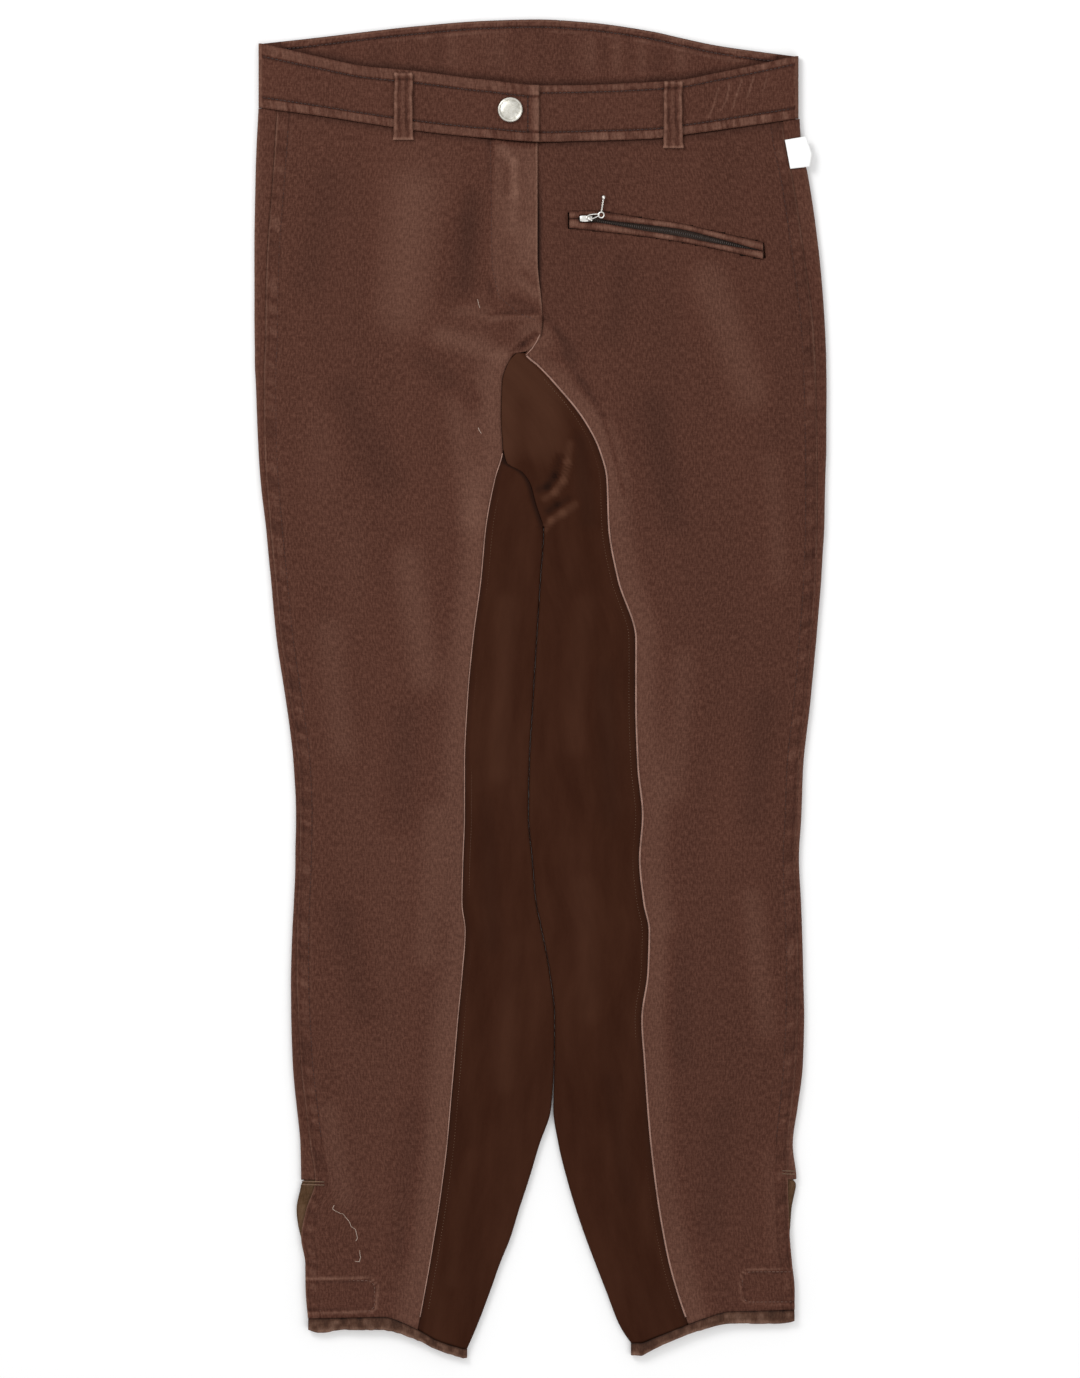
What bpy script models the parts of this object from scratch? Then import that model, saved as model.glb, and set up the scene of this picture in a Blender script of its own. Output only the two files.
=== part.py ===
"""Riding pants laid flat with the front up, made piece by piece at real size.

The cloth is a flattened tube. Its under layer rests on the surface, its upper layer lies on it, and
each layer turns into the other in a rounded fold. A piece is a stretch of that tube between two seams.
Tables and sizes are in millimetres: x to the wearer's left, y up the garment, z off the surface.
"""

import math
from collections import namedtuple

import bmesh
import bpy

MM = 0.001

# Walls
CLOTH = 1.2
BAND = 2.4
HEM = 1.6
WELT = 1.8
TAPE = 0.8
LOOP = 1.5
LABEL = 0.8

# Clearances between neighbouring pieces
GAP = 0.3
HALF_GAP = GAP / 2

# Heights of the middle of the upper layer
LEG_RISE = 3.8
WAIST_RISE = 5.0
PUFF = 1.2
FLY_RISE = CLOTH + GAP
TAB_RISE = BAND + GAP

# Places up the garment
WAIST_ROW = 388
FLY_FOOT = 263
SEAT_TOP = 250
CROTCH = 115
VENT_TOP = -349
HEM_ROW = -446
SUEDE_TOPS = {"right": 160, "left": 238}

# Where the rows start to bend to the waist seam and to the hem, and where the waist starts to rise
WAIST_BEND = 260
HEM_BEND = -330
WAIST_RISE_FOOT = 320

# How far from the folds and the waist the soft filling takes to reach its height
FLAT_EDGE = 3
OUTER_FILL = 60
FOLD_FILL = 40
HIP_FILL = 70

# Places across the garment
CENTRE_BACK = 14
RIGHT_WAIST = -200
LEFT_WAIST = 183
UNDERLAP_END = -32
TAB_END = -1.3
BAND_UNDERLAP_END = -33

# Hardware
BUTTON_AT = (-21.4, 409.9)
BUTTON_DIAMETER = 17.7
BUTTON_HEIGHT = 2.6
SLIDER_AT = (32.3, 333.2)
SLIDER_SIZE = (8.7, 4.4, 2.8)
CROWN_AT = (34.6, 332.9)
CROWN_WIDTH = 2.0
CROWN_RADIUS = 1.5
BAR_RADIUS = 0.5
PULL_WIRE = 0.45
RING_AT = (43.0, 335.8)
RING_RADIUS = 2.0
RING_WIRE = 0.55
PULL_END_AT = (44.7, 348.0)
PULL_END_RADIUS = 1.7
LOOP_WIDTH = 13.4
LOOP_BOW = 0.9

# Columns of points across the pieces, closer beside the fly
FRONT_COLUMNS = (0, 0.15, 0.31, 0.47, 0.62, 0.755, 0.825, 0.91, 1)
UNDER_COLUMNS = 7
WING_COLUMNS = 4
LOWER_COLUMNS = 5
FOLD_STEPS = 5
ROW_SPACING = 17

Section = namedtuple(
    "Section",
    "y right_outer right_side right_front right_back right_fold "
    "left_fold left_back left_front left_side left_outer",
)

# One row for each section across the garment, from the waist down. Above the crotch the two folds
# are the middle of the seat.
SECTIONS = [
    Section(*row)
    for row in (
        (412, -200.0, -186.5, -2.0, 14, 14, 14, 14, -1.5, 170.5, 183.5),
        (388, -201.3, -188.0, -2.0, 12, 12, 12, 12, -1.5, 173.2, 185.0),
        (361, -202.3, -190.0, -2.0, 10, 10, 10, 10, -1.5, 179.0, 190.4),
        (305, -203.0, -194.0, -2.0, 6, 6, 6, 6, -1.5, 187.5, 198.0),
        (263, -203.0, -195.0, 1.4, 3, 3, 3, 3, 1.4, 193.0, 201.5),
        (252, -203.0, -195.0, 0.8, 2.3, 2.3, 2.3, 2.3, 0.8, 193.8, 202.1),
        (250, -203.0, -195.0, 0.6, -8, 2.3, 2.3, 12, 0.6, 193.9, 202.2),
        (240, -202.8, -195.5, -8.5, -42, 2.3, 2.3, 44, -8.5, 194.4, 202.6),
        (238, -202.8, -195.6, -17.0, -47, 2.3, 2.3, 49, -10.6, 194.5, 202.7),
        (229, -202.7, -196.0, -24.0, -64, 2.3, 2.3, 66, -1.5, 195.0, 202.8),
        (217, -202.0, -196.2, -27.3, -77, 2.3, 2.3, 79, 9.9, 195.4, 202.9),
        (191, -201.0, -196.0, -28.0, -92, 2.3, 2.3, 94, 30.9, 196.0, 202.9),
        (170, -200.2, -195.6, -26.8, -97, 2.3, 2.3, 100, 41.8, 196.4, 202.8),
        (149, -198.8, -194.5, -32.3, -98, 2.3, 2.3, 102, 47.2, 196.5, 202.2),
        (115, -194.9, -191.7, -38.7, -94, 2.3, 2.3, 100, 48.5, 196.3, 201.3),
        (78, -191.3, -188.1, -42.2, -87, 0.0, 0.0, 97, 55.0, 195.1, 199.2),
        (35, -187.1, -183.9, -47.9, -81, -2.7, -2.7, 94, 67.8, 192.0, 195.6),
        (-8, -180.7, -177.5, -51.8, -76, -5.3, -5.3, 92, 67.7, 188.4, 191.7),
        (-55, -175.0, -171.8, -53.9, -73, -8.0, -8.0, 90, 69.2, 183.3, 186.4),
        (-90, -173.6, -170.5, -53.9, -72, -8.5, -8.5, 90, 72.5, 181.9, 185.0),
        (-120, -173.9, -171.0, -55.0, -72, -5.9, -5.9, 90, 70.4, 180.5, 183.5),
        (-152, -175.0, -172.2, -55.7, -72, -3.0, -3.0, 92, 73.5, 181.6, 185.0),
        (-171, -176.1, -172.9, -53.4, -72, 0.9, 0.9, 93, 77.2, 182.5, 185.7),
        (-201, -177.0, -173.1, -55.5, -73, 6.5, 6.5, 94, 76.3, 183.0, 186.4),
        (-234, -176.8, -171.8, -58.7, -76, 10.1, 10.1, 94, 72.0, 182.4, 187.1),
        (-266, -175.7, -170.0, -61.4, -79, 9.7, 9.7, 95, 74.0, 181.0, 186.2),
        (-298, -172.9, -166.4, -64.2, -82, 7.6, 8.9, 97, 76.2, 178.1, 182.3),
        (-323, -170.4, -163.3, -66.4, -85, -0.6, 12.6, 99, 78.4, 175.6, 179.0),
        (-349, -169.9, -159.8, -69.6, -89, -8.4, 19.0, 103, 81.5, 175.4, 181.6),
        (-369, -173.2, -166.1, -72.4, -93, -15.0, 25.0, 107, 84.3, 176.0, 178.2),
        (-389, -170.6, -169.7, -75.6, -97, -21.1, 31.8, 112, 87.8, 176.8, 177.1),
        (-407, -166.8, -166.8, -78.5, -101, -28.4, 38.6, 117, 91.5, 178.4, 178.4),
        (-427, -166.5, -166.5, -82.1, -106, -35.5, 46.4, 123, 97.0, 180.2, 180.2),
        (-452, -164.5, -164.5, -86.7, -112, -45.0, 56.3, 130, 105.3, 180.2, 180.2),
        (-474, -164.0, -164.0, -91.0, -116, -54.6, 72.0, 136, 112.0, 180.2, 180.2),
    )
]

# Edge of the suede that bulges out at the crotch and lies over the right leg
Lobe = namedtuple("Lobe", "y x")
LOBE = [
    Lobe(*row)
    for row in ((170, -26.5), (160, -23.8), (154, -13.4), (146, -7.5), (131, -3.2), (115, 2.3))
]

# Largest soft ridges of the upper layer, each a straight run with a rounded top
Ridge = namedtuple("Ridge", "x1 y1 x2 y2 width height")
RIDGES = [
    Ridge(*row)
    for row in (
        (15, 236, 45, 183, 13, 0.8),
        (45, 183, 58, 120, 13, 0.8),
        (-10, 222, -6, 150, 20, 0.7),
        (-46, 232, -38, 150, 14, 0.6),
        (-120, -60, -150, -140, 22, 0.6),
        (120, 70, 150, -20, 24, 0.6),
        (-110, 190, -165, 120, 26, 0.5),
        (140, -120, 110, -230, 24, 0.6),
        (-120, -250, -100, -360, 20, 0.6),
    )
]

# Waistband across the garment: upper and lower edge, in front and behind
Waist = namedtuple("Waist", "x front_top front_seam back_top back_seam")
WAIST = [
    Waist(*row)
    for row in (
        (-200, 458.0, 412.0, 457.5, 412.0),
        (-155, 447.5, 406.0, 462.5, 421.0),
        (-126, 441.5, 401.5, 466.0, 426.5),
        (-90, 438.0, 396.0, 470.0, 431.0),
        (-40, 431.5, 390.5, 474.0, 435.5),
        (-2, 427.5, 387.7, 475.0, 437.0),
        (33, 428.0, 388.5, 473.0, 435.0),
        (79, 430.0, 390.0, 466.5, 428.0),
        (99, 431.5, 392.5, 462.0, 423.0),
        (125, 436.5, 396.0, 456.5, 417.0),
        (156, 443.0, 400.5, 452.0, 411.0),
        (183, 449.0, 404.5, 448.5, 404.5),
    )
]

# Lower ends of the legs: where the panels stop and where the hem stops
Hem = namedtuple("Hem", "x seam end")
RIGHT_HEM = [
    Hem(*row)
    for row in (
        (-165, -446.6, -454.0),
        (-157, -446.5, -456.5),
        (-140, -446.2, -454.2),
        (-112, -445.4, -454.4),
        (-87, -454.4, -461.5),
        (-73, -462.2, -468.5),
        (-55, -468.0, -474.3),
    )
]
LEFT_HEM = [
    Hem(*row)
    for row in (
        (72, -463.8, -472.5),
        (94, -454.8, -461.5),
        (116, -446.5, -453.8),
        (134, -441.5, -449.6),
        (167, -440.8, -450.0),
        (181, -440.4, -448.0),
    )
]

# Zip pocket: its box in the panel and the slot between its two welts
Pocket = namedtuple("Pocket", "x top slot_top slot_bottom bottom")
POCKET = [
    Pocket(*row)
    for row in (
        (20.2, 338.5, 333.4, 333.0, 326.7),
        (26.5, 338.6, 333.5, 333.0, 326.2),
        (27.5, 338.6, 335.8, 330.6, 326.1),
        (38.5, 338.5, 335.8, 330.6, 324.9),
        (40.5, 338.4, 333.6, 330.4, 324.7),
        (73.5, 333.2, 329.4, 324.6, 320.9),
        (98.3, 329.8, 326.2, 320.6, 317.2),
        (123.2, 324.0, 320.2, 315.6, 312.4),
        (158.0, 316.4, 310.4, 310.0, 304.6),
    )
]

# Belt loops: middle across, lower end, upper end
BeltLoop = namedtuple("BeltLoop", "name x foot head")
BELT_LOOPS = (
    BeltLoop("belt_loop_right", -97.1, 389.0, 436.3),
    BeltLoop("belt_loop_left", 93.9, 383.2, 430.2),
)

# Side label: its corners in order
LABEL_CORNERS = ((173.2, 389.0), (188.0, 391.6), (192.4, 379.0), (190.6, 370.2), (177.0, 368.6))


def mix(first, last, share):
    return first + (last - first) * share


def shares(count):
    return [i / count for i in range(count + 1)]


def ramp(value, low, high):
    """0 below low, 1 above high and smooth between."""
    share = min(max((value - low) / (high - low), 0), 1)
    return share * share * (3 - 2 * share)


def curve_through(rows, key, value):
    """A smooth function through the rows of a table that never swings past them."""
    rows = sorted(rows, key=lambda row: getattr(row, key))
    xs = [getattr(row, key) for row in rows]
    ys = [getattr(row, value) for row in rows]
    slopes = [(ys[i + 1] - ys[i]) / (xs[i + 1] - xs[i]) for i in range(len(xs) - 1)]
    tangents = [slopes[0]]
    for before, after in zip(slopes, slopes[1:]):
        tangents.append(2 * before * after / (before + after) if before * after > 0 else 0)
    tangents.append(slopes[-1])

    def at(x):
        x = min(max(x, xs[0]), xs[-1])
        i = max(i for i in range(len(xs) - 1) if xs[i] <= x)
        width = xs[i + 1] - xs[i]
        t = (x - xs[i]) / width
        return (
            (1 + 2 * t) * (1 - t) ** 2 * ys[i]
            + t * (1 - t) ** 2 * width * tangents[i]
            + t * t * (3 - 2 * t) * ys[i + 1]
            + t * t * (t - 1) * width * tangents[i + 1]
        )

    return at


class Leg:
    """One half of the garment: its seams and folds as functions of the height."""

    def __init__(self, name, inward, hem):
        self.name = name
        self.inward = inward
        for column in ("outer", "side", "front", "back", "fold"):
            setattr(self, column, curve_through(SECTIONS, "y", f"{name}_{column}"))
        self.hem_seam = curve_through(hem, "x", "seam")
        self.hem_end = curve_through(hem, "x", "end")


RIGHT = Leg("right", 1, RIGHT_HEM)
LEFT = Leg("left", -1, LEFT_HEM)
lobe_edge = curve_through(LOBE, "y", "x")
front_top = curve_through(WAIST, "x", "front_top")
front_seam = curve_through(WAIST, "x", "front_seam")
back_top = curve_through(WAIST, "x", "back_top")
back_seam = curve_through(WAIST, "x", "back_seam")
pocket_line = {name: curve_through(POCKET, "x", name) for name in Pocket._fields[1:]}


def panel_rows():
    """Heights of the points up the panels: the table's sections, the lobe's top and rows between."""
    heights = [section.y for section in SECTIONS if HEM_ROW < section.y <= WAIST_ROW]
    heights = sorted([HEM_ROW, SUEDE_TOPS["right"], *heights])
    rows = []
    for low, high in zip(heights, heights[1:]):
        steps = max(1, round((high - low) / ROW_SPACING))
        rows += [mix(low, high, share) for share in shares(steps)[:-1]]
    return rows + [WAIST_ROW]


ROWS = panel_rows()


def ridge_height(x, y):
    """Height of the tallest soft ridge at a point."""
    tallest = 0
    for ridge in RIDGES:
        run_x, run_y = ridge.x2 - ridge.x1, ridge.y2 - ridge.y1
        along = ((x - ridge.x1) * run_x + (y - ridge.y1) * run_y) / (run_x**2 + run_y**2)
        along = min(max(along, 0), 1)
        off = math.hypot(x - ridge.x1 - run_x * along, y - ridge.y1 - run_y * along)
        tallest = max(tallest, ridge.height * ramp(ridge.width - off, 0, ridge.width))
    return tallest


def top_height(x, y):
    """Middle of the upper layer: low at the folds, softly filled between them."""
    leg = RIGHT if x < (RIGHT.fold(y) + LEFT.fold(y)) / 2 else LEFT
    base = mix(LEG_RISE, WAIST_RISE, ramp(y, WAIST_RISE_FOOT, WAIST_ROW))
    puff = PUFF * ramp(WAIST_ROW - y, 0, OUTER_FILL)
    off_outer = ramp(abs(x - leg.outer(y)), FLAT_EDGE, OUTER_FILL)
    off_fold = ramp(abs(x - leg.fold(y)), FLAT_EDGE, FOLD_FILL)
    hips = ramp(y, CROTCH, CROTCH + HIP_FILL)
    filled = off_outer * mix(off_fold, 1, hips)
    return base + (puff + ridge_height(x, y)) * filled


def row_height(row, x, waist, hem):
    """Height of a row at x: level in the middle, bent to the waist seam and the hem at its ends."""
    up = ramp(row, WAIST_BEND, WAIST_ROW) * (waist - GAP - WAIST_ROW)
    down = ramp(-row, -HEM_BEND, -HEM_ROW) * (hem + GAP - HEM_ROW)
    return row + up + down


def fold_point(edge, inward, height, wall, share):
    """A point of a fold's middle, from the upper layer (share 0) round to the under layer (1)."""
    radius = (height - wall / 2) / 2
    angle = math.pi * share
    x = edge + inward * (wall / 2 + radius - radius * math.sin(angle))
    return x, wall / 2 + radius + radius * math.cos(angle)


def fold_start(edge, inward, height, wall):
    return fold_point(edge, inward, height, wall, 0)[0]


def settle(row, across, waist, hem):
    """The point of a row whose x and y agree: across gives x at a height, waist and hem the ends at x."""
    x = across(row)
    for _ in range(3):
        y = row_height(row, x, waist(x), hem(x))
        x = across(y)
    return x, row_height(row, x, waist(x), hem(x))


def front_point(leg, share, row, rise=0):
    """A point of a front panel, from the side seam (share 0) to the front edge (1)."""

    def across(y):
        return mix(leg.side(y) + leg.inward * HALF_GAP, leg.front(y) - leg.inward * HALF_GAP, share)

    x, y = settle(row, across, front_seam, leg.hem_seam)
    return x, y, top_height(x, y) + rise * fly_share(x, y)


def fly_share(x, y):
    """How far the right front is lifted over the fly's underlap."""
    return ramp(x, UNDERLAP_END - 14, UNDERLAP_END - 4) * ramp(y, FLY_FOOT - 16, FLY_FOOT - 2)


def back_point(leg, kind, share, row):
    """A point of a back panel: the strip beside the side seam, the outer fold, the under layer."""

    def across(y):
        edge = leg.outer(y)
        start = fold_start(edge, leg.inward, top_height(edge, y), CLOTH)
        if kind == "strip":
            return mix(leg.side(y) - leg.inward * HALF_GAP, start, share)
        if kind == "fold":
            return start
        return mix(start, leg.back(y) - leg.inward * HALF_GAP, share)

    turn = {"strip": 0, "fold": share, "under": 1}[kind]
    x, y = settle(row, across, lambda x: mix(front_seam(x), back_seam(x), turn), leg.hem_seam)
    edge = leg.outer(y)
    height = top_height(edge, y)
    if kind == "strip":
        return x, y, mix(top_height(x, y), height, share)
    if kind == "fold":
        x, z = fold_point(edge, leg.inward, height, CLOTH, share)
        return x, y, z
    return x, y, CLOTH / 2


def seat_edge(leg, y):
    """Inner end of the suede's upper wing above the crotch."""
    outline = lobe_edge(y) if y < LOBE[0].y else RIGHT.front(y) + HALF_GAP
    return outline + (HALF_GAP if leg is LEFT else -HALF_GAP)


def seat_point(leg, kind, share, row):
    """A point of the suede: upper wing, inner fold, lower wing."""

    def across(y):
        edge = leg.fold(y) - leg.inward * HALF_GAP
        start = fold_start(edge, -leg.inward, top_height(edge, y), CLOTH)
        if kind == "upper":
            inner = start if row <= CROTCH else seat_edge(leg, y)
            return mix(leg.front(y) + leg.inward * HALF_GAP, inner, share)
        if kind == "fold":
            return start
        return mix(start if row <= CROTCH else edge, leg.back(y) + leg.inward * HALF_GAP, share)

    x, y = settle(row, across, front_seam, leg.hem_seam)
    if kind == "upper":
        return x, y, top_height(x, y)
    if kind == "fold":
        edge = leg.fold(y) - leg.inward * HALF_GAP
        x, z = fold_point(edge, -leg.inward, top_height(edge, y), CLOTH, share)
        return x, y, z
    return x, y, CLOTH / 2


def material(name, colour, roughness, metallic=0.0):
    finish = bpy.data.materials.new(name)
    finish.use_nodes = True
    shader = finish.node_tree.nodes["Principled BSDF"]
    shader.inputs["Base Color"].default_value = (*colour, 1)
    shader.inputs["Roughness"].default_value = roughness
    shader.inputs["Metallic"].default_value = metallic
    return finish


def finished(node, name, collection, finish):
    """Name the object, put it in the collection and give it its material."""
    node.name = node.data.name = name
    for old in list(node.users_collection):
        old.objects.unlink(node)
    collection.objects.link(node)
    node.data.materials.clear()
    if finish:
        node.data.materials.append(finish)
    return node


def sheet(name, columns, rows, place, wall, collection, finish, keep=None):
    """A cloth piece: a grid whose points are placed one by one, some faces left out, made a wall."""
    bpy.ops.mesh.primitive_grid_add(x_subdivisions=len(columns) - 1, y_subdivisions=len(rows) - 1, size=1)
    node = finished(bpy.context.object, name, collection, finish)
    grid = bmesh.new()
    grid.from_mesh(node.data)
    cells = {}
    for vertex in grid.verts:
        column = round((vertex.co.x + 0.5) * (len(columns) - 1))
        row = round((vertex.co.y + 0.5) * (len(rows) - 1))
        cells[vertex] = (column, row)
    if keep:
        unwanted = [
            face
            for face in grid.faces
            if not keep(
                columns[min(cells[v][0] for v in face.verts)],
                rows[min(cells[v][1] for v in face.verts)],
            )
        ]
        bmesh.ops.delete(grid, geom=unwanted, context="FACES")
    for vertex in grid.verts:
        column, row = cells[vertex]
        vertex.co = [value * MM for value in place(columns[column], rows[row])]
    grid.to_mesh(node.data)
    grid.free()
    thicken = node.modifiers.new("Wall", "SOLIDIFY")
    thicken.thickness = wall * MM
    thicken.offset = 0
    thicken.use_even_offset = True
    return node


def front_panel(leg, collection, finish, rise=0):
    columns = list(FRONT_COLUMNS)
    underlap = [1 + i for i in range(1, 4)] if leg is LEFT else []

    def place(column, row):
        if column <= 1:
            return front_point(leg, column, row, rise)
        edge, y, _ = front_point(leg, 1, row)
        x = mix(edge, UNDERLAP_END, (column - 1) / 3)
        y += (front_seam(x) - front_seam(edge)) * ramp(row, WAIST_BEND, WAIST_ROW)
        return x, y, top_height(x, y)

    def keep(column, row):
        return column < 1 or row >= FLY_FOOT

    return sheet(f"front_{leg.name}", columns + underlap, ROWS, place, CLOTH, collection, finish, keep)


def back_panel(leg, collection, finish):
    strip = [("strip", 0)]
    fold = [("fold", share) for share in shares(FOLD_STEPS)]
    under = [("under", share) for share in shares(UNDER_COLUMNS)[1:]]

    def keep(column, row):
        return column[0] == "under" or column == ("fold", 1) or row >= VENT_TOP

    return sheet(
        f"back_{leg.name}",
        strip + fold + under,
        ROWS,
        lambda column, row: back_point(leg, *column, row),
        CLOTH,
        collection,
        finish,
        keep,
    )


def seat_panel(leg, collection, finish):
    upper = [("upper", share) for share in shares(WING_COLUMNS)[:-1]]
    fold = [("fold", share) for share in shares(FOLD_STEPS)]
    lower = [("lower", share) for share in shares(LOWER_COLUMNS)[1:]]
    apex = SUEDE_TOPS[leg.name]
    rows = [row for row in ROWS if row <= SEAT_TOP]

    def place(column, row):
        kind, share = column
        if row > CROTCH and column == ("fold", 0):
            kind, share = "upper", 1
        if row > CROTCH and column == ("fold", 1):
            kind, share = "lower", 0
        return seat_point(leg, kind, share, row)

    def keep(column, row):
        kind, share = column
        if kind == "upper":
            return row < apex
        if kind == "fold" and share < 1:
            return row < CROTCH
        return True

    return sheet(f"seat_{leg.name}", upper + fold + lower, rows, place, CLOTH, collection, finish, keep)


def waistband(leg, collection, finish):
    """Half the waistband: front stretch, fold and back stretch, on the same columns as its panels."""
    corner = RIGHT_WAIST if leg is RIGHT else LEFT_WAIST
    start = fold_start(corner, leg.inward, WAIST_RISE, BAND)
    middle, side = leg.front(WAIST_ROW), leg.side(SECTIONS[0].y)
    first = [TAB_END] if leg is RIGHT else [BAND_UNDERLAP_END, BAND_UNDERLAP_END / 2, middle]
    across = [mix(middle, side, 1 - share) for share in FRONT_COLUMNS[-2::-1]]
    front = [("front", x) for x in first + across + [start]]
    fold = [("fold", share) for share in shares(FOLD_STEPS)[1:]]
    seam = CENTRE_BACK - leg.inward * HALF_GAP
    back = [("back", mix(start, seam, share)) for share in shares(UNDER_COLUMNS)[1:]]

    def place(column, row):
        kind, value = column
        if kind == "front":
            over = ramp(value, BAND_UNDERLAP_END - 15, BAND_UNDERLAP_END - 2)
            lift = TAB_RISE * over if leg is RIGHT else 0
            return value, mix(front_seam(value), front_top(value), row), WAIST_RISE + lift
        if kind == "fold":
            x, z = fold_point(corner, leg.inward, WAIST_RISE, BAND, value)
            low = mix(front_seam(x), back_seam(x), value)
            return x, mix(low, mix(front_top(x), back_top(x), value), row), z
        return value, mix(back_seam(value), back_top(value), row), BAND / 2

    return sheet(f"waistband_{leg.name}", front + fold + back, shares(2), place, BAND, collection, finish)


def hem_band(leg, collection, finish):
    """The turned band at the ankle, open at the vent, on the same columns as its panels."""
    upper = [("upper", front_point(leg, share, HEM_ROW)[0]) for share in FRONT_COLUMNS]
    upper += [("upper", seat_point(leg, "upper", share, HEM_ROW)[0]) for share in shares(WING_COLUMNS)[1:]]
    fold = [("fold", share) for share in shares(FOLD_STEPS)[1:]]
    lower = [("lower", seat_point(leg, "lower", share, HEM_ROW)[0]) for share in shares(LOWER_COLUMNS)[1:]]
    for share in shares(UNDER_COLUMNS)[1:]:
        lower.append(("lower", back_point(leg, "under", 1 - share, HEM_ROW)[0]))
    inner = seat_point(leg, "upper", 1, HEM_ROW)[1]

    def place(column, row):
        kind, value = column
        if kind == "fold":
            edge = leg.fold(inner) - leg.inward * HALF_GAP
            x, z = fold_point(edge, -leg.inward, LEG_RISE + (HEM - CLOTH) / 2, HEM, value)
        else:
            x = value
            z = top_height(x, HEM_ROW) + (HEM - CLOTH) / 2 if kind == "upper" else HEM / 2
        return x, mix(leg.hem_end(x), leg.hem_seam(x), row), z

    return sheet(f"hem_{leg.name}", upper + fold + lower, shares(1), place, HEM, collection, finish)


def vent_underlap(leg, collection, finish):
    rows = [VENT_TOP - 1, -358, -369, -379, -389, -407, -427, -438]

    def place(column, row):
        tuck = mix(HALF_GAP, 1.5, ramp(-row, 380, 400))
        edge = leg.outer(row) + leg.inward * tuck
        return edge + leg.inward * 18 * column, row, CLOTH + GAP + 0.1 + CLOTH / 2

    return sheet(f"vent_underlap_{leg.name}", shares(2), rows, place, CLOTH, collection, finish)


def belt_loop(loop, collection, finish):
    """A loop sewn to the panel below the band and to the band's upper edge, bowed up between."""
    seam = front_seam(loop.x)
    rows = [loop.foot, seam - 4] + [mix(seam + 4, loop.head, share) for share in shares(5)]

    def place(column, row):
        x = loop.x + (column - 0.5) * LOOP_WIDTH
        surface = top_height(x, row) + CLOTH / 2 if row == loop.foot else WAIST_RISE + BAND / 2
        bow = LOOP_BOW * math.sin(math.pi * ramp(row, seam - 4, loop.head))
        return x, row, surface + GAP + LOOP / 2 + bow

    return sheet(loop.name, shares(2), rows, place, LOOP, collection, finish)


def pocket_welt(name, high, low, collection, finish):
    """One folded strip of the pocket, between two lines of the pocket's table."""
    stations = [row.x for row in POCKET]
    stations[0] += GAP
    stations[-1] -= GAP

    def place(column, row):
        y = mix(pocket_line[low](column) + HALF_GAP, pocket_line[high](column) - HALF_GAP, row)
        return column, y, top_height(column, y) + WELT / 2 - CLOTH / 2

    return sheet(name, stations, shares(1), place, WELT, collection, finish)


def pocket_tape(collection, finish):
    stations = [row.x for row in POCKET]

    def place(column, row):
        y = mix(pocket_line["bottom"](column) - 1, pocket_line["top"](column) + 1, row)
        return column, y, top_height(column, y) - CLOTH / 2 - GAP - TAPE / 2

    return sheet("pocket_zip_tape", stations, shares(2), place, TAPE, collection, finish)


def cut_pocket(panel, guides):
    """Cut the pocket's box through the front panel."""
    stations = [row.x for row in POCKET]

    def place(column, row):
        return column, mix(pocket_line["bottom"](column), pocket_line["top"](column), row), LEG_RISE + 1

    cutter = sheet("pocket_box", stations, shares(1), place, 8, guides, None)
    cutter.hide_render = True
    cutter.display_type = "WIRE"
    cut = panel.modifiers.new("Pocket", "BOOLEAN")
    cut.operation = "DIFFERENCE"
    cut.object = cutter


def button(collection, finish):
    """A domed metal button with a raised rim, turned round its axis."""
    radius = BUTTON_DIAMETER / 2
    foot = WAIST_RISE + TAB_RISE + BAND / 2 + GAP
    profile = (
        (0, BUTTON_HEIGHT - 0.5),
        (radius * 0.55, BUTTON_HEIGHT - 0.6),
        (radius * 0.76, BUTTON_HEIGHT - 0.9),
        (radius * 0.83, BUTTON_HEIGHT - 0.4),
        (radius * 0.92, BUTTON_HEIGHT - 0.3),
        (radius, BUTTON_HEIGHT - 1.0),
        (radius * 0.95, 0.4),
        (radius * 0.6, 0),
        (0, 0),
    )
    mesh = bpy.data.meshes.new("button")
    points = [(x * MM, 0, z * MM) for x, z in profile]
    mesh.from_pydata(points, [(i, i + 1) for i in range(len(profile) - 1)], [])
    node = bpy.data.objects.new("button", mesh)
    collection.objects.link(node)
    node.data.materials.append(finish)
    node.location = (BUTTON_AT[0] * MM, BUTTON_AT[1] * MM, foot * MM)
    turn = node.modifiers.new("Turn", "SCREW")
    turn.steps = turn.render_steps = 24
    turn.use_merge_vertices = True
    turn.merge_threshold = 0.00001
    turn.use_normal_calculate = True
    return node


def label(collection, finish):
    """A plain folded label caught in the left side seam."""
    mesh = bpy.data.meshes.new("side_label")
    height = WAIST_RISE + CLOTH / 2 + GAP + LABEL / 2
    points = [(x * MM, y * MM, height * MM) for x, y in LABEL_CORNERS]
    mesh.from_pydata(points, [], [tuple(range(len(points)))])
    mesh.flip_normals()
    node = bpy.data.objects.new("side_label", mesh)
    collection.objects.link(node)
    mesh.materials.append(finish)
    thicken = node.modifiers.new("Wall", "SOLIDIFY")
    thicken.thickness = LABEL * MM
    thicken.offset = 0
    return node


def solid_from_curve(node):
    """The curve's evaluated mesh with its caps welded, as a new object."""
    depsgraph = bpy.context.evaluated_depsgraph_get()
    mesh = bpy.data.meshes.new_from_object(node.evaluated_get(depsgraph))
    solid = bpy.data.objects.new(node.name + "_solid", mesh)
    solid.matrix_world = node.matrix_world
    edit = bmesh.new()
    edit.from_mesh(mesh)
    bmesh.ops.remove_doubles(edit, verts=edit.verts, dist=0.00001)
    edit.to_mesh(mesh)
    edit.free()
    bpy.data.objects.remove(node)
    return solid


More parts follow.
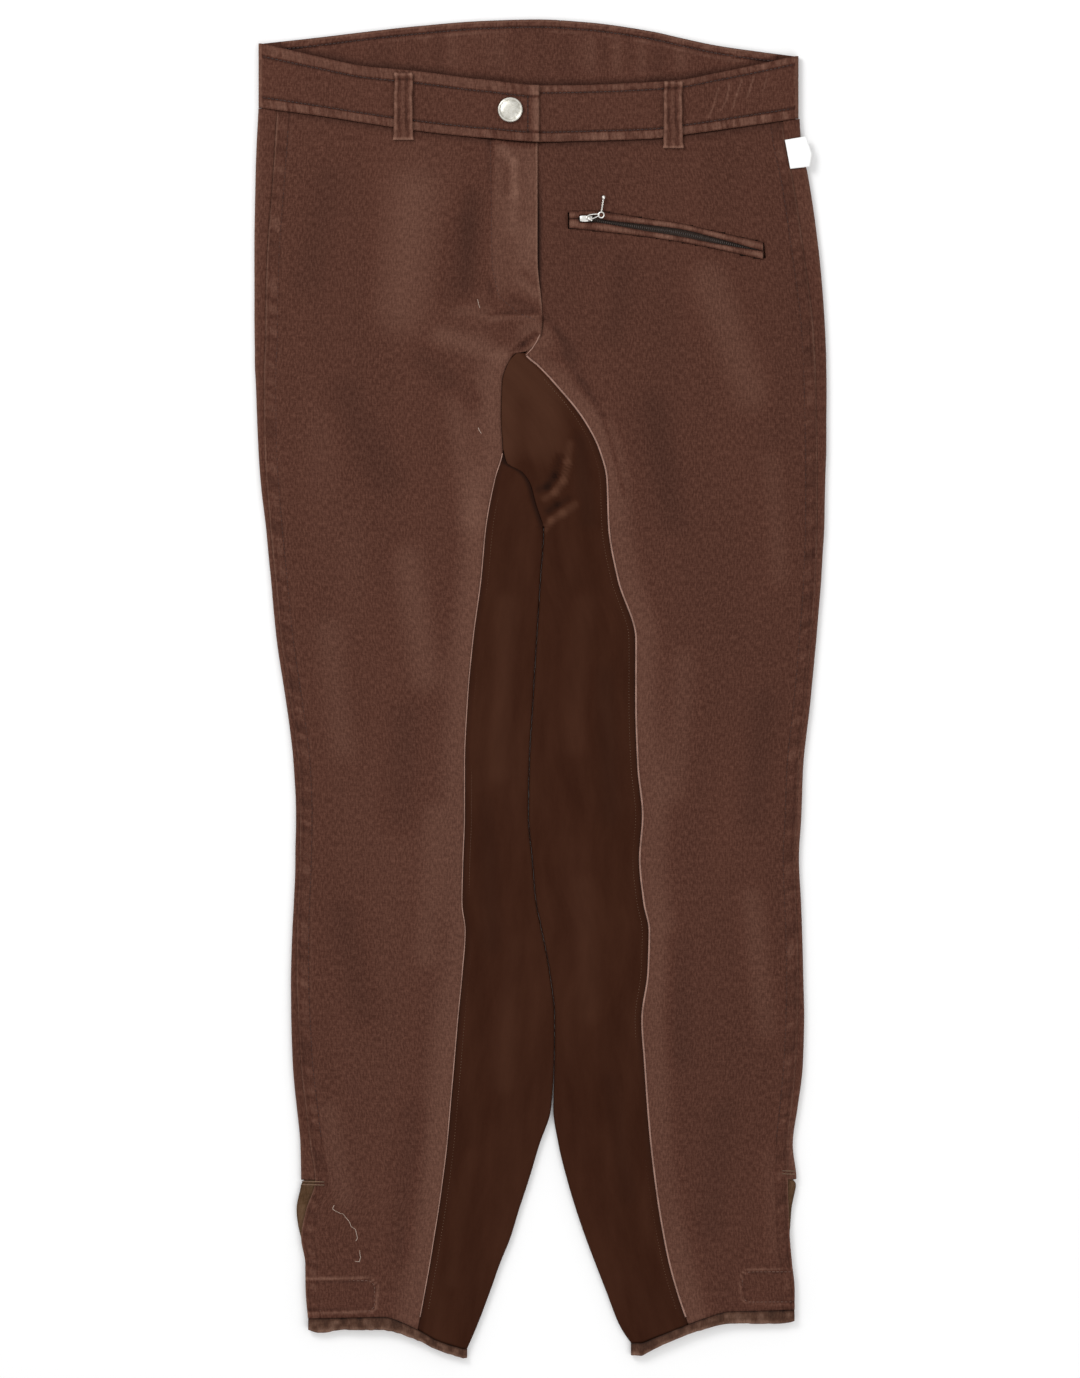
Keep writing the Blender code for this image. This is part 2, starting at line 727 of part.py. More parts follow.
def wire(name, points, radius, collection, closed=False):
    """A round wire through the points."""
    shape = bpy.data.curves.new(name, "CURVE")
    shape.dimensions = "3D"
    shape.bevel_depth = radius * MM
    shape.bevel_resolution = 2
    shape.use_fill_caps = True
    line = shape.splines.new("POLY")
    line.points.add(len(points) - 1)
    for point, place in zip(line.points, points):
        point.co = (*[value * MM for value in place], 1)
    line.use_cyclic_u = closed
    node = bpy.data.objects.new(name, shape)
    collection.objects.link(node)
    bpy.context.view_layer.update()
    solid = solid_from_curve(node)
    collection.objects.link(solid)
    return solid


def join_solids(node, others):
    """Unite the others with the node, and keep them hidden as guides."""
    for other in others:
        other.hide_render = True
        other.display_type = "WIRE"
        union = node.modifiers.new(other.name, "BOOLEAN")
        union.operation = "UNION"
        union.object = other
    return node


def zip_slider(collection, guides, finish):
    """The slider's body in the slot, with the crown that holds the pull's bar."""
    middle = top_height(*SLIDER_AT)
    foot = middle - CLOTH / 2
    length, width, height = SLIDER_SIZE
    bpy.ops.mesh.primitive_cube_add(size=1)
    body = finished(bpy.context.object, "zip_slider", collection, finish)
    for vertex in body.data.vertices:
        x, y, z = vertex.co
        taper = 0.82 if x > 0 else 1
        vertex.co = (x * length * MM, y * width * taper * MM, z * height * MM)
    body.location = (SLIDER_AT[0] * MM, SLIDER_AT[1] * MM, (foot + height / 2) * MM)
    bevel = body.modifiers.new("Edges", "BEVEL")
    bevel.width = 0.45 * MM
    bevel.segments = 2
    crown = crown_arch(bar_height(), foot + height, guides)
    return join_solids(body, [crown])


def bar_height():
    """Height of the pull's bar, which is the axis that the pull swings on."""
    return top_height(*SLIDER_AT) - CLOTH / 2 + SLIDER_SIZE[2] + BAR_RADIUS + 2 * GAP


def crown_arch(axis_height, base, guides):
    """An arch over the bar: half a ring on two short posts that run down into the body."""
    inner = BAR_RADIUS + GAP
    points = [(-CROWN_RADIUS, base - 1 - axis_height)]
    points += [(CROWN_RADIUS * -math.cos(a), CROWN_RADIUS * math.sin(a)) for a in arc(8)]
    points += [(CROWN_RADIUS, base - 1 - axis_height), (inner, base - 1 - axis_height)]
    points += [(inner * math.cos(a), inner * math.sin(a)) for a in arc(8)]
    points += [(-inner, base - 1 - axis_height)]
    mesh = bpy.data.meshes.new("zip_crown")
    mesh.from_pydata(
        [(CROWN_AT[0] * MM, (CROWN_AT[1] + y) * MM, (axis_height + z) * MM) for y, z in points],
        [],
        [tuple(range(len(points)))],
    )
    node = bpy.data.objects.new("zip_crown", mesh)
    guides.objects.link(node)
    thicken = node.modifiers.new("Width", "SOLIDIFY")
    thicken.thickness = CROWN_WIDTH * MM
    thicken.offset = 0
    return node


def arc(steps):
    return [math.pi * i / steps for i in range(steps + 1)]


def zip_pull(collection, guides, finish):
    """The pull: a wire bail through the crown, a ring and a thin stem with a rounded end."""
    axis = bar_height()
    ring_height = top_height(*RING_AT) + WELT - CLOTH / 2 + GAP + RING_WIRE
    end_height = top_height(*PULL_END_AT) + CLOTH / 2 + GAP + PULL_END_RADIUS
    half_bar = CROWN_WIDTH / 2 + GAP + PULL_WIRE
    x, y = CROWN_AT
    ring_x, ring_y = RING_AT
    middle = (axis + ring_height) / 2
    loop = [
        (x - half_bar, y, axis),
        (x - half_bar + 0.2, y + 1.6, axis),
        (x + 0.8, y + 3.0, middle),
        (ring_x - RING_RADIUS, ring_y + 0.6, ring_height),
        (ring_x - RING_RADIUS, ring_y - 0.6, ring_height),
        (x + half_bar + 2.4, y + 1.0, middle),
        (x + half_bar, y, axis),
    ]
    bail = wire("bail_wire", loop, PULL_WIRE, guides, closed=True)
    bpy.ops.mesh.primitive_torus_add(
        major_radius=RING_RADIUS * MM,
        minor_radius=RING_WIRE * MM,
        major_segments=20,
        minor_segments=8,
        location=(ring_x * MM, ring_y * MM, ring_height * MM),
    )
    ring = finished(bpy.context.object, "zip_pull", collection, finish)
    stem = wire(
        "pull_stem",
        [(ring_x + 0.1, ring_y + RING_RADIUS, ring_height), (PULL_END_AT[0], PULL_END_AT[1], end_height)],
        0.7,
        guides,
    )
    bpy.ops.mesh.primitive_uv_sphere_add(
        segments=12,
        ring_count=8,
        radius=PULL_END_RADIUS * MM,
        location=(PULL_END_AT[0] * MM, PULL_END_AT[1] * MM, end_height * MM),
    )
    bulb = finished(bpy.context.object, "pull_bulb", guides, None)
    return join_solids(ring, [bail, stem, bulb])


def main():
    for node in list(bpy.data.objects):
        bpy.data.objects.remove(node)
    parts = bpy.data.collections.new("riding_pants")
    guides = bpy.data.collections.new("guides")
    bpy.context.scene.collection.children.link(parts)
    bpy.context.scene.collection.children.link(guides)

    cloth = material("brown_cloth", (0.09, 0.037, 0.024), 0.85)
    suede = material("dark_suede", (0.045, 0.015, 0.008), 0.95)
    trim = material("brown_trim", (0.11, 0.05, 0.033), 0.9)
    olive = material("olive_lining_side", (0.09, 0.06, 0.03), 0.9)
    tape = material("dark_tape", (0.02, 0.012, 0.01), 0.8)
    metal = material("silvery_metal", (0.75, 0.73, 0.68), 0.3, 1.0)
    white = material("white_label", (0.85, 0.85, 0.85), 0.7)

    for leg in (RIGHT, LEFT):
        panel = front_panel(leg, parts, cloth, FLY_RISE if leg is RIGHT else 0)
        if leg is LEFT:
            cut_pocket(panel, guides)
        back_panel(leg, parts, cloth)
        seat_panel(leg, parts, suede)
        waistband(leg, parts, cloth)
        hem_band(leg, parts, trim)
        vent_underlap(leg, parts, olive)
    for loop in BELT_LOOPS:
        belt_loop(loop, parts, cloth)
    pocket_welt("pocket_welt_upper", "top", "slot_top", parts, cloth)
    pocket_welt("pocket_welt_lower", "slot_bottom", "bottom", parts, cloth)
    pocket_tape(parts, tape)
    button(parts, metal)
    label(parts, white)
    zip_slider(parts, guides, metal)
    zip_pull(parts, guides, metal)


main()
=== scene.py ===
"""Riding pants laid flat with the front up: cloth, suede, sewing, fastenings and their finishes.

The garment is a flattened tube of cloth. Its under layer rests on the floor, its upper layer lies on
it, and each layer turns into the other in a rounded fold. Every panel is a fine grid laid on that form
between its seams, with soft creases and the pull of the sewing in its height.
Tables and sizes are in millimetres: x to the wearer's left, y up the garment, z off the floor.
"""

import math
from collections import namedtuple

import bmesh
import bpy
import numpy as np
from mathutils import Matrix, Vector


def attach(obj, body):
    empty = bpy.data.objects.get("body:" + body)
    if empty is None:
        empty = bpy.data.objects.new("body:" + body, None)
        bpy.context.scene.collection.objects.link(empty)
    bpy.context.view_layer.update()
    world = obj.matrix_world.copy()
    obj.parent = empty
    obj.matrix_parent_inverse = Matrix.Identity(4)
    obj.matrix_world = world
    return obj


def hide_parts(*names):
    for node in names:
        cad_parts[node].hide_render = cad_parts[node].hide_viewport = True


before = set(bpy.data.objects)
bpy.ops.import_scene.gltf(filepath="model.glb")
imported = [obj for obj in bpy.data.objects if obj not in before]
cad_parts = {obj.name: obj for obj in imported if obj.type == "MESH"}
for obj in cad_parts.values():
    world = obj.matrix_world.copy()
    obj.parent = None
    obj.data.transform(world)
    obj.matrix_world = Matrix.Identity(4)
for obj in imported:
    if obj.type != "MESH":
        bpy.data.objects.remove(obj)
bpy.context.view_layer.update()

MM = 0.001

# Walls of the cloth pieces
CLOTH = 1.2
BAND = 2.4
HEM = 1.6
WELT = 1.8
TAPE = 0.8
LOOP = 1.5
LABEL = 0.8
FACING = 0.7
GAP = 0.3
HALF_GAP = GAP / 2

# Heights of the middle of the upper layer
LEG_RISE = 3.8
WAIST_RISE = 5.0
PUFF = 1.2
FLY_RISE = CLOTH + GAP
TAB_RISE = BAND + GAP

# Places up and across the garment
WAIST_ROW = 388
FLY_FOOT = 263
SEAT_TOP = 250
CROTCH = 115
VENT_TOP = -349
HEM_ROW = -446
CENTRE_BACK = 14
RIGHT_WAIST = -200
LEFT_WAIST = 183
UNDERLAP_END = -32
TAB_END = -1.3
BAND_UNDERLAP_END = -33
FLY_LINE = -35.0
POCKET_BOX = (20.6, 157.6)

# Hardware
BUTTON_AT = (-21.4, 409.9)
BUTTON_DIAMETER = 17.7
BUTTON_HEIGHT = 2.6
SLIDER_AT = (32.3, 333.2)
SLIDER_SIZE = (8.7, 4.4, 2.8)
CROWN_AT = (34.6, 332.9)
CROWN_WIDTH = 2.0
CROWN_RADIUS = 1.5
CROWN_LEG = 1.4
BAR_RADIUS = 0.5
RING_AT = (43.0, 335.8)
RING_RADIUS = 2.0
RING_WIRE = 0.55
PULL_WIRE = 0.45
PULL_END_AT = (44.7, 348.0)
PULL_END_RADIUS = 1.7

# Rows of stitches on the waistband, as shares of its height, and the line across the tab
BAND_LINES = {"right": (0.165, 0.80), "left": (0.17, 0.87)}
TAB_LINE = 7.6
TOPSTITCH = 8.5

# Fineness of the grids
ROW_STEP = 2.0
FINE = 1.3
COARSE = 3.4
FOLD_STEPS = 10

Section = namedtuple(
    "Section",
    "y right_outer right_side right_front right_back right_fold "
    "left_fold left_back left_front left_side left_outer",
)

# One row for each section across the garment, from the waist down. Above the crotch the two folds
# are the middle of the seat.
SECTIONS = [
    Section(*row)
    for row in (
        (412, -200.0, -186.5, -2.0, 14, 14, 14, 14, -1.5, 170.5, 183.5),
        (388, -201.3, -188.0, -2.0, 12, 12, 12, 12, -1.5, 173.2, 185.0),
        (361, -202.3, -190.0, -2.0, 10, 10, 10, 10, -1.5, 179.0, 190.4),
        (305, -203.0, -194.0, -2.0, 6, 6, 6, 6, -1.5, 187.5, 198.0),
        (263, -203.0, -195.0, 1.4, 3, 3, 3, 3, 1.4, 193.0, 201.5),
        (252, -203.0, -195.0, 0.8, 2.3, 2.3, 2.3, 2.3, 0.8, 193.8, 202.1),
        (250, -203.0, -195.0, 0.6, -8, 2.3, 2.3, 12, 0.6, 193.9, 202.2),
        (240, -202.8, -195.5, -8.5, -42, 2.3, 2.3, 44, -8.5, 194.4, 202.6),
        (238, -202.8, -195.6, -17.0, -47, 2.3, 2.3, 49, -10.6, 194.5, 202.7),
        (229, -202.7, -196.0, -24.0, -64, 2.3, 2.3, 66, -1.5, 195.0, 202.8),
        (217, -202.0, -196.2, -27.3, -77, 2.3, 2.3, 79, 9.9, 195.4, 202.9),
        (191, -201.0, -196.0, -28.0, -92, 2.3, 2.3, 94, 30.9, 196.0, 202.9),
        (170, -200.2, -195.6, -26.8, -97, 2.3, 2.3, 100, 41.8, 196.4, 202.8),
        (149, -198.8, -194.5, -32.3, -98, 2.3, 2.3, 102, 47.2, 196.5, 202.2),
        (115, -194.9, -191.7, -38.7, -94, 2.3, 2.3, 100, 48.5, 196.3, 201.3),
        (78, -191.3, -188.1, -42.2, -87, 0.0, 0.0, 97, 55.0, 195.1, 199.2),
        (35, -187.1, -183.9, -47.9, -81, -2.7, -2.7, 94, 67.8, 192.0, 195.6),
        (-8, -180.7, -177.5, -51.8, -76, -5.3, -5.3, 92, 67.7, 188.4, 191.7),
        (-55, -175.0, -171.8, -53.9, -73, -8.0, -8.0, 90, 69.2, 183.3, 186.4),
        (-90, -173.6, -170.5, -53.9, -72, -8.5, -8.5, 90, 72.5, 181.9, 185.0),
        (-120, -173.9, -171.0, -55.0, -72, -5.9, -5.9, 90, 70.4, 180.5, 183.5),
        (-152, -175.0, -172.2, -55.7, -72, -3.0, -3.0, 92, 73.5, 181.6, 185.0),
        (-171, -176.1, -172.9, -53.4, -72, 0.9, 0.9, 93, 77.2, 182.5, 185.7),
        (-201, -177.0, -173.1, -55.5, -73, 6.5, 6.5, 94, 76.3, 183.0, 186.4),
        (-234, -176.8, -171.8, -58.7, -76, 10.1, 10.1, 94, 72.0, 182.4, 187.1),
        (-266, -175.7, -170.0, -61.4, -79, 9.7, 9.7, 95, 74.0, 181.0, 186.2),
        (-298, -172.9, -166.4, -64.2, -82, 7.6, 8.9, 97, 76.2, 178.1, 182.3),
        (-323, -170.4, -163.3, -66.4, -85, -0.6, 12.6, 99, 78.4, 175.6, 179.0),
        (-349, -169.9, -159.8, -69.6, -89, -8.4, 19.0, 103, 81.5, 175.4, 181.6),
        (-369, -173.2, -166.1, -72.4, -93, -15.0, 25.0, 107, 84.3, 176.0, 178.2),
        (-389, -170.6, -169.7, -75.6, -97, -21.1, 31.8, 112, 87.8, 176.8, 177.1),
        (-407, -166.8, -166.8, -78.5, -101, -28.4, 38.6, 117, 91.5, 178.4, 178.4),
        (-427, -166.5, -166.5, -82.1, -106, -35.5, 46.4, 123, 97.0, 180.2, 180.2),
        (-452, -164.5, -164.5, -86.7, -112, -45.0, 56.3, 130, 105.3, 180.2, 180.2),
        (-474, -164.0, -164.0, -91.0, -116, -54.6, 72.0, 136, 112.0, 180.2, 180.2),
    )
]

# Where each leg's suede ends at the top in front
SUEDE_TOPS = {"right": 168, "left": 238}

# Edge of the suede that bulges out at the crotch and lies over the right leg
Lobe = namedtuple("Lobe", "y x")
LOBE = [
    Lobe(*row)
    for row in ((170, -26.5), (160, -23.8), (154, -13.4), (146, -7.5), (131, -3.2), (115, 2.3))
]

# Waistband across the garment: upper and lower edge, in front and behind
Waist = namedtuple("Waist", "x front_top front_seam back_top back_seam")
WAIST = [
    Waist(*row)
    for row in (
        (-200, 458.0, 412.0, 457.5, 412.0),
        (-155, 447.5, 406.0, 462.5, 421.0),
        (-126, 441.5, 401.5, 466.0, 426.5),
        (-90, 438.0, 396.0, 470.0, 431.0),
        (-40, 431.5, 390.5, 474.0, 435.5),
        (-2, 427.5, 387.7, 475.0, 437.0),
        (33, 428.0, 388.5, 473.0, 435.0),
        (79, 430.0, 390.0, 466.5, 428.0),
        (99, 431.5, 392.5, 462.0, 423.0),
        (125, 436.5, 396.0, 456.5, 417.0),
        (156, 443.0, 400.5, 452.0, 411.0),
        (183, 449.0, 404.5, 448.5, 404.5),
    )
]

# Lower ends of the legs: where the panels stop and where the hem stops
Hem = namedtuple("Hem", "x seam end")
RIGHT_HEM = [
    Hem(*row)
    for row in (
        (-165, -446.6, -454.0),
        (-157, -446.5, -456.5),
        (-140, -446.2, -454.2),
        (-112, -445.4, -454.4),
        (-87, -454.4, -461.5),
        (-73, -462.2, -468.5),
        (-55, -468.0, -474.3),
    )
]
LEFT_HEM = [
    Hem(*row)
    for row in (
        (72, -463.8, -472.5),
        (94, -454.8, -461.5),
        (116, -446.5, -453.8),
        (134, -441.5, -449.6),
        (167, -440.8, -450.0),
        (181, -440.4, -448.0),
    )
]

# Zip pocket: its box in the panel and the slot between its two welts
Pocket = namedtuple("Pocket", "x top slot_top slot_bottom bottom")
POCKET = [
    Pocket(*row)
    for row in (
        (20.2, 338.5, 333.4, 333.0, 326.7),
        (26.5, 338.6, 333.5, 333.0, 326.2),
        (27.5, 338.6, 335.8, 330.6, 326.1),
        (38.5, 338.5, 335.8, 330.6, 324.9),
        (40.5, 338.4, 333.6, 330.4, 324.7),
        (73.5, 333.2, 329.4, 324.6, 320.9),
        (98.3, 329.8, 326.2, 320.6, 317.2),
        (123.2, 324.0, 320.2, 315.6, 312.4),
        (158.0, 316.4, 310.4, 310.0, 304.6),
    )
]

BeltLoop = namedtuple("BeltLoop", "name x foot head")
BELT_LOOPS = (
    BeltLoop("belt_loop_right", -97.1, 389.0, 436.3),
    BeltLoop("belt_loop_left", 93.9, 383.2, 430.2),
)
LOOP_WIDTH = 13.4
LOOP_BOW = 0.9
LABEL_CORNERS = ((173.2, 389.0), (188.0, 391.6), (192.4, 379.0), (190.6, 370.2), (177.0, 368.6))

# Soft creases: each runs from one point to another with a rounded section.
# A positive height is a ridge and a negative one a trough. On the front panels, the suede and the band the
# heights are painted into the colour too: painted highlight on ridges, painted shade in troughs.
Crease = namedtuple("Crease", "x1 y1 x2 y2 width height")
RIDGES = [
    Crease(*row)
    for row in (
        (15, 236, 45, 183, 13, 0.8),
        (45, 183, 58, 120, 13, 0.8),
        (-10, 222, -6, 150, 20, 0.7),
        (-46, 232, -38, 150, 14, 0.6),
        (-120, -60, -150, -140, 22, 0.6),
        (120, 70, 150, -20, 24, 0.6),
        (-110, 190, -165, 120, 26, 0.5),
        (140, -120, 110, -230, 24, 0.6),
        (-120, -250, -100, -360, 20, 0.6),
    )
]
FRONT_CREASES = [
    Crease(*row)
    for row in (
        # fly and crotch
        (-3, 279, -16, 290, 4, 0.35),
        (-6, 270, -20, 276, 5, -0.4),
        (-4, 288, -13, 297, 4, -0.3),
        (-30, 388, -19, 373, 5, 0.6),
        (-19, 373, -18, 350, 5, 0.7),
        (-18, 350, -20, 326, 7, 0.35),
        (-24, 372, -24, 352, 5, -0.35),
        (-14, 326, -13, 300, 8, 0.25),
        (-49, 348, -51, 286, 13, -0.6),
        (-4, 251, -12, 244.5, 4.5, -1.0),
        (-12, 244.5, -19, 237, 4.5, -0.9),
        (-60, 268, -30, 265, 7, 0.3),
        (-36, 266.0, -1, 267.2, 2.6, -0.7),
        (-36, 262.4, -1, 263.4, 3.4, 0.5),
        (3, 262.5, 11, 256, 5, -0.5),
        (11, 256, 17, 248, 5, -0.4),
        (16, 238.5, 30, 217.5, 3.6, -0.5),
        (30, 217.5, 44, 194, 3.6, -0.5),
        (44, 194, 53, 163, 3.4, -0.45),
        (53, 163, 59, 138, 3.2, -0.4),
        (-70, 250, -30, 238, 12, 0.5),
        (-85, 236, -50, 205, 14, -0.4),
        (-60, 205, -50, 120, 16, 0.4),
        (12, 252, 24, 236, 7, -0.55),
        (26, 218, 38, 204, 6, -0.4),
        # below the pocket's left end
        (30, 319, 48, 317, 4, -0.3),
        # right leg
        (-150, 360, -165, 290, 20, -0.3),
        (-90, 350, -100, 270, 30, 0.4),
        (-55, 330, -62, 280, 16, -0.35),
        (-140, 210, -110, 150, 22, -0.35),
        (-95, 90, -80, 10, 20, 0.4),
        (-150, 40, -140, -40, 18, 0.3),
        (-95, -20, -100, -90, 22, -0.35),
        (-75, -90, -80, -190, 14, 0.35),
        (-140, -160, -125, -230, 18, -0.3),
        (-90, -300, -100, -400, 16, -0.25),
        (-150, -300, -140, -360, 14, 0.3),
        # left leg
        (60, 300, 50, 250, 18, -0.35),
        (120, 290, 150, 210, 24, 0.4),
        (80, 200, 95, 120, 18, -0.35),
        (165, 160, 170, 80, 16, 0.3),
        (100, 20, 95, -70, 20, 0.35),
        (160, -10, 150, -90, 18, -0.35),
        (150, -150, 160, -240, 18, 0.35),
        (95, -180, 100, -260, 16, -0.3),
        (130, -300, 120, -380, 18, -0.3),
        (160, -330, 165, -400, 12, 0.25),
    )
]
BAND_CREASES = [
    Crease(*row)
    for row in (
        (126, 426, 123, 414, 0.9, 0.35),
        (123, 414, 119, 405, 0.9, 0.4),
        (134, 430, 132, 418, 0.9, 0.5),
        (132, 418, 128, 410, 0.9, 0.35),
        (143, 432, 139, 421, 0.9, 0.45),
        (139, 421, 136, 411, 0.9, 0.5),
        (151, 434, 147, 420, 0.9, 0.5),
        (161, 436, 158, 424, 0.9, 0.35),
    )
]
SUEDE_CREASES = [
    Crease(*row)
    for row in (
        (21.6, 174, 19.2, 160.8, 4.5, 0.8),
        (19.2, 160.8, 15.8, 147.8, 4.5, 1.1),
        (15.8, 147.8, 10, 139.5, 4.5, 1.2),
        (10, 139.5, 2.8, 134.9, 4.5, 0.9),
        (14, 164, 10.5, 151, 5, -0.9),
        (10.5, 151, 5, 143.5, 5, -1.2),
        (5, 143.5, -1, 141.5, 4.5, -0.9),
        (2.8, 112.5, 7.5, 119.6, 4, 1.0),
        (7.5, 119.6, 15.8, 124.8, 4.5, 1.1),
        (15.8, 124.8, 25, 131, 5, 0.8),
        (5.5, 126, 12, 130.5, 4.5, -1.1),
        (12, 130.5, 20, 135, 4, -0.8),
        (28, 175, 34, 120, 12, -0.5),
        (-14, 200, -12, 160, 10, -0.25),
        (30, 60, 24, -40, 16, 0.35),
        (46, 10, 50, -90, 12, -0.3),
        (-24, 60, -30, -60, 12, 0.3),
        (-38, -80, -34, -180, 12, -0.3),
        (30, -140, 36, -230, 14, 0.3),
        (-20, -180, -26, -280, 12, 0.25),
        (50, -280, 62, -360, 12, -0.3),
        (-50, -330, -62, -420, 10, 0.25),
    )
]


# Functions of place, all of which take single numbers or arrays


def mix(first, last, share):
    """The value at a share of the way from first to last."""
    return first + (last - first) * share


def shares(count):
    """Even shares from 0 to 1, count steps apart."""
    return [i / count for i in range(count + 1)]


def ramp(value, low, high):
    """0 below low, 1 above high and smooth between."""
    share = np.clip((value - low) / (high - low), 0, 1)
    return share * share * (3 - 2 * share)


def near(value, place, core, reach):
    """1 within core of a place, falling smoothly to 0 at reach."""
    return 1 - ramp(abs(value - place), core, reach)


def curve_through(rows, key, value):
    """A smooth function through the rows of a table that never swings past them."""
    rows = sorted(rows, key=lambda row: getattr(row, key))
    xs = np.array([getattr(row, key) for row in rows], float)
    ys = np.array([getattr(row, value) for row in rows], float)
    slopes = np.diff(ys) / np.diff(xs)
    tangents = [slopes[0]]
    for before, after in zip(slopes, slopes[1:]):
        tangents.append(2 * before * after / (before + after) if before * after > 0 else 0)
    tangents = np.array([*tangents, slopes[-1]])

    def at(x):
        x = np.clip(x, xs[0], xs[-1])
        i = np.clip(np.searchsorted(xs, x, side="right") - 1, 0, len(xs) - 2)
        width = xs[i + 1] - xs[i]
        t = (x - xs[i]) / width
        return (
            (1 + 2 * t) * (1 - t) ** 2 * ys[i]
            + t * (1 - t) ** 2 * width * tangents[i]
            + t * t * (3 - 2 * t) * ys[i + 1]
            + t * t * (t - 1) * width * tangents[i + 1]
        )

    return at


class Leg:
    """One half of the garment: its seams and folds as functions of the height."""

    def __init__(self, name, inward, hem):
        self.name = name
        self.inward = inward
        for column in ("outer", "side", "front", "back", "fold"):
            setattr(self, column, curve_through(SECTIONS, "y", f"{name}_{column}"))
        self.hem_seam = curve_through(hem, "x", "seam")
        self.hem_end = curve_through(hem, "x", "end")


RIGHT = Leg("right", 1, RIGHT_HEM)
LEFT = Leg("left", -1, LEFT_HEM)
lobe_edge = curve_through(LOBE, "y", "x")
front_top = curve_through(WAIST, "x", "front_top")
front_seam = curve_through(WAIST, "x", "front_seam")
back_top = curve_through(WAIST, "x", "back_top")
back_seam = curve_through(WAIST, "x", "back_seam")
pocket_line = {name: curve_through(POCKET, "x", name) for name in Pocket._fields[1:]}


def uneven(x, y, size, seed):
    """Smooth unevenness from -1 to 1, with bumps about size across."""
    column, row = np.floor(x / size), np.floor(y / size)
    across, up = x / size - column, y / size - row
    across, up = across * across * (3 - 2 * across), up * up * (3 - 2 * up)

    def corner(i, j):
        value = np.sin((column + i) * 127.1 + (row + j) * 311.7 + seed * 74.7) * 43758.5453
        return 2 * (value - np.floor(value)) - 1

    low = mix(corner(0, 0), corner(1, 0), across)
    return mix(low, mix(corner(0, 1), corner(1, 1), across), up)


def crease_height(x, y, creases):
    """Height of all the soft creases in a table at a point."""
    total = 0
    for crease in creases:
        run_x, run_y = crease.x2 - crease.x1, crease.y2 - crease.y1
        along = ((x - crease.x1) * run_x + (y - crease.y1) * run_y) / (run_x**2 + run_y**2)
        along = np.clip(along, 0, 1)
        off = np.hypot(x - crease.x1 - run_x * along, y - crease.y1 - run_y * along)
        total = total + crease.height * ramp(crease.width - off, 0, crease.width)
    return total


def ridge_height(x, y):
    """Height of the tallest of the large ridges at a point."""
    tallest = 0
    for ridge in RIDGES:
        tallest = np.maximum(tallest, crease_height(x, y, [ridge]))
    return tallest


def top_height(x, y):
    """Middle of the upper layer: low at the folds, softly filled between them."""
    right = x < (RIGHT.fold(y) + LEFT.fold(y)) / 2
    outer = np.where(right, RIGHT.outer(y), LEFT.outer(y))
    fold = np.where(right, RIGHT.fold(y), LEFT.fold(y))
    base = mix(LEG_RISE, WAIST_RISE, ramp(y, 320, WAIST_ROW))
    puff = PUFF * ramp(WAIST_ROW - y, 0, 60)
    hips = ramp(y, CROTCH, CROTCH + 70)
    filled = ramp(abs(x - outer), 3, 60) * mix(ramp(abs(x - fold), 3, 40), 1, hips)
    return base + (puff + ridge_height(x, y)) * filled


def seam_dip(off, depth=0.45, reach=2.2):
    """The cloth turning down into a seam, by the distance off it."""
    return -depth * (1 - ramp(off, 0, reach)) ** 2


def pull_of_stitches(off, along, first, last, size, seed):
    """Small irregular ridges across the strip between a seam and its row of stitches."""
    strip = ramp(off, first - 1, first + 1.5) * (1 - ramp(off, last - 1.5, last + 1.5))
    return 0.3 * uneven(along, along * 0.13, size, seed) * strip


def row_height(row, waist, hem):
    """Height of a row at its x: level in the middle, bent to the waist seam and the hem."""
    up = ramp(row, 260, WAIST_ROW) * (waist - GAP - WAIST_ROW)
    down = ramp(-row, 330, -HEM_ROW) * (hem + GAP - HEM_ROW)
    return row + up + down


def fold_point(edge, inward, height, wall, share):
    """A point of a fold's middle, from the upper layer (share 0) round to the under layer (1)."""
    radius = (height - wall / 2) / 2
    angle = math.pi * share
    x = edge + inward * (wall / 2 + radius - radius * math.sin(angle))
    return x, wall / 2 + radius + radius * math.cos(angle)


def settle(row, across, waist, hem):
    """The point of a row whose x and y agree."""
    x = across(row)
    for _ in range(3):
        y = row_height(row, waist(x), hem(x))
        x = across(y)
    return x, row_height(row, waist(x), hem(x))


def fly_share(x, y):
    """How far the right front is lifted over the fly's underlap."""
    return ramp(x, UNDERLAP_END - 14, UNDERLAP_END - 4) * ramp(y, FLY_FOOT - 16, FLY_FOOT - 2)


# Middle, half width and half height of each leg's patch
PATCH_ROUND = 5.7
PATCHES = {"right": (-141.0, -430.1, 24.0, 10.8), "left": (161.0, -423.8, 18.0, 10.6)}


def patch_edge(leg, x, y):
    """Distance inside the outline of the patch sewn on a leg, below 0 outside it."""
    middle_x, middle_y, half_width, half_height = PATCHES[leg.name]
    outward = np.where(leg.inward * (x - middle_x) > 0, abs(x - middle_x), 0)
    off_x, off_y = outward - half_width + PATCH_ROUND, abs(y - middle_y) - half_height + PATCH_ROUND
    corner = np.hypot(np.maximum(off_x, 0), np.maximum(off_y, 0))
    return PATCH_ROUND - corner - np.minimum(np.maximum(off_x, off_y), 0)


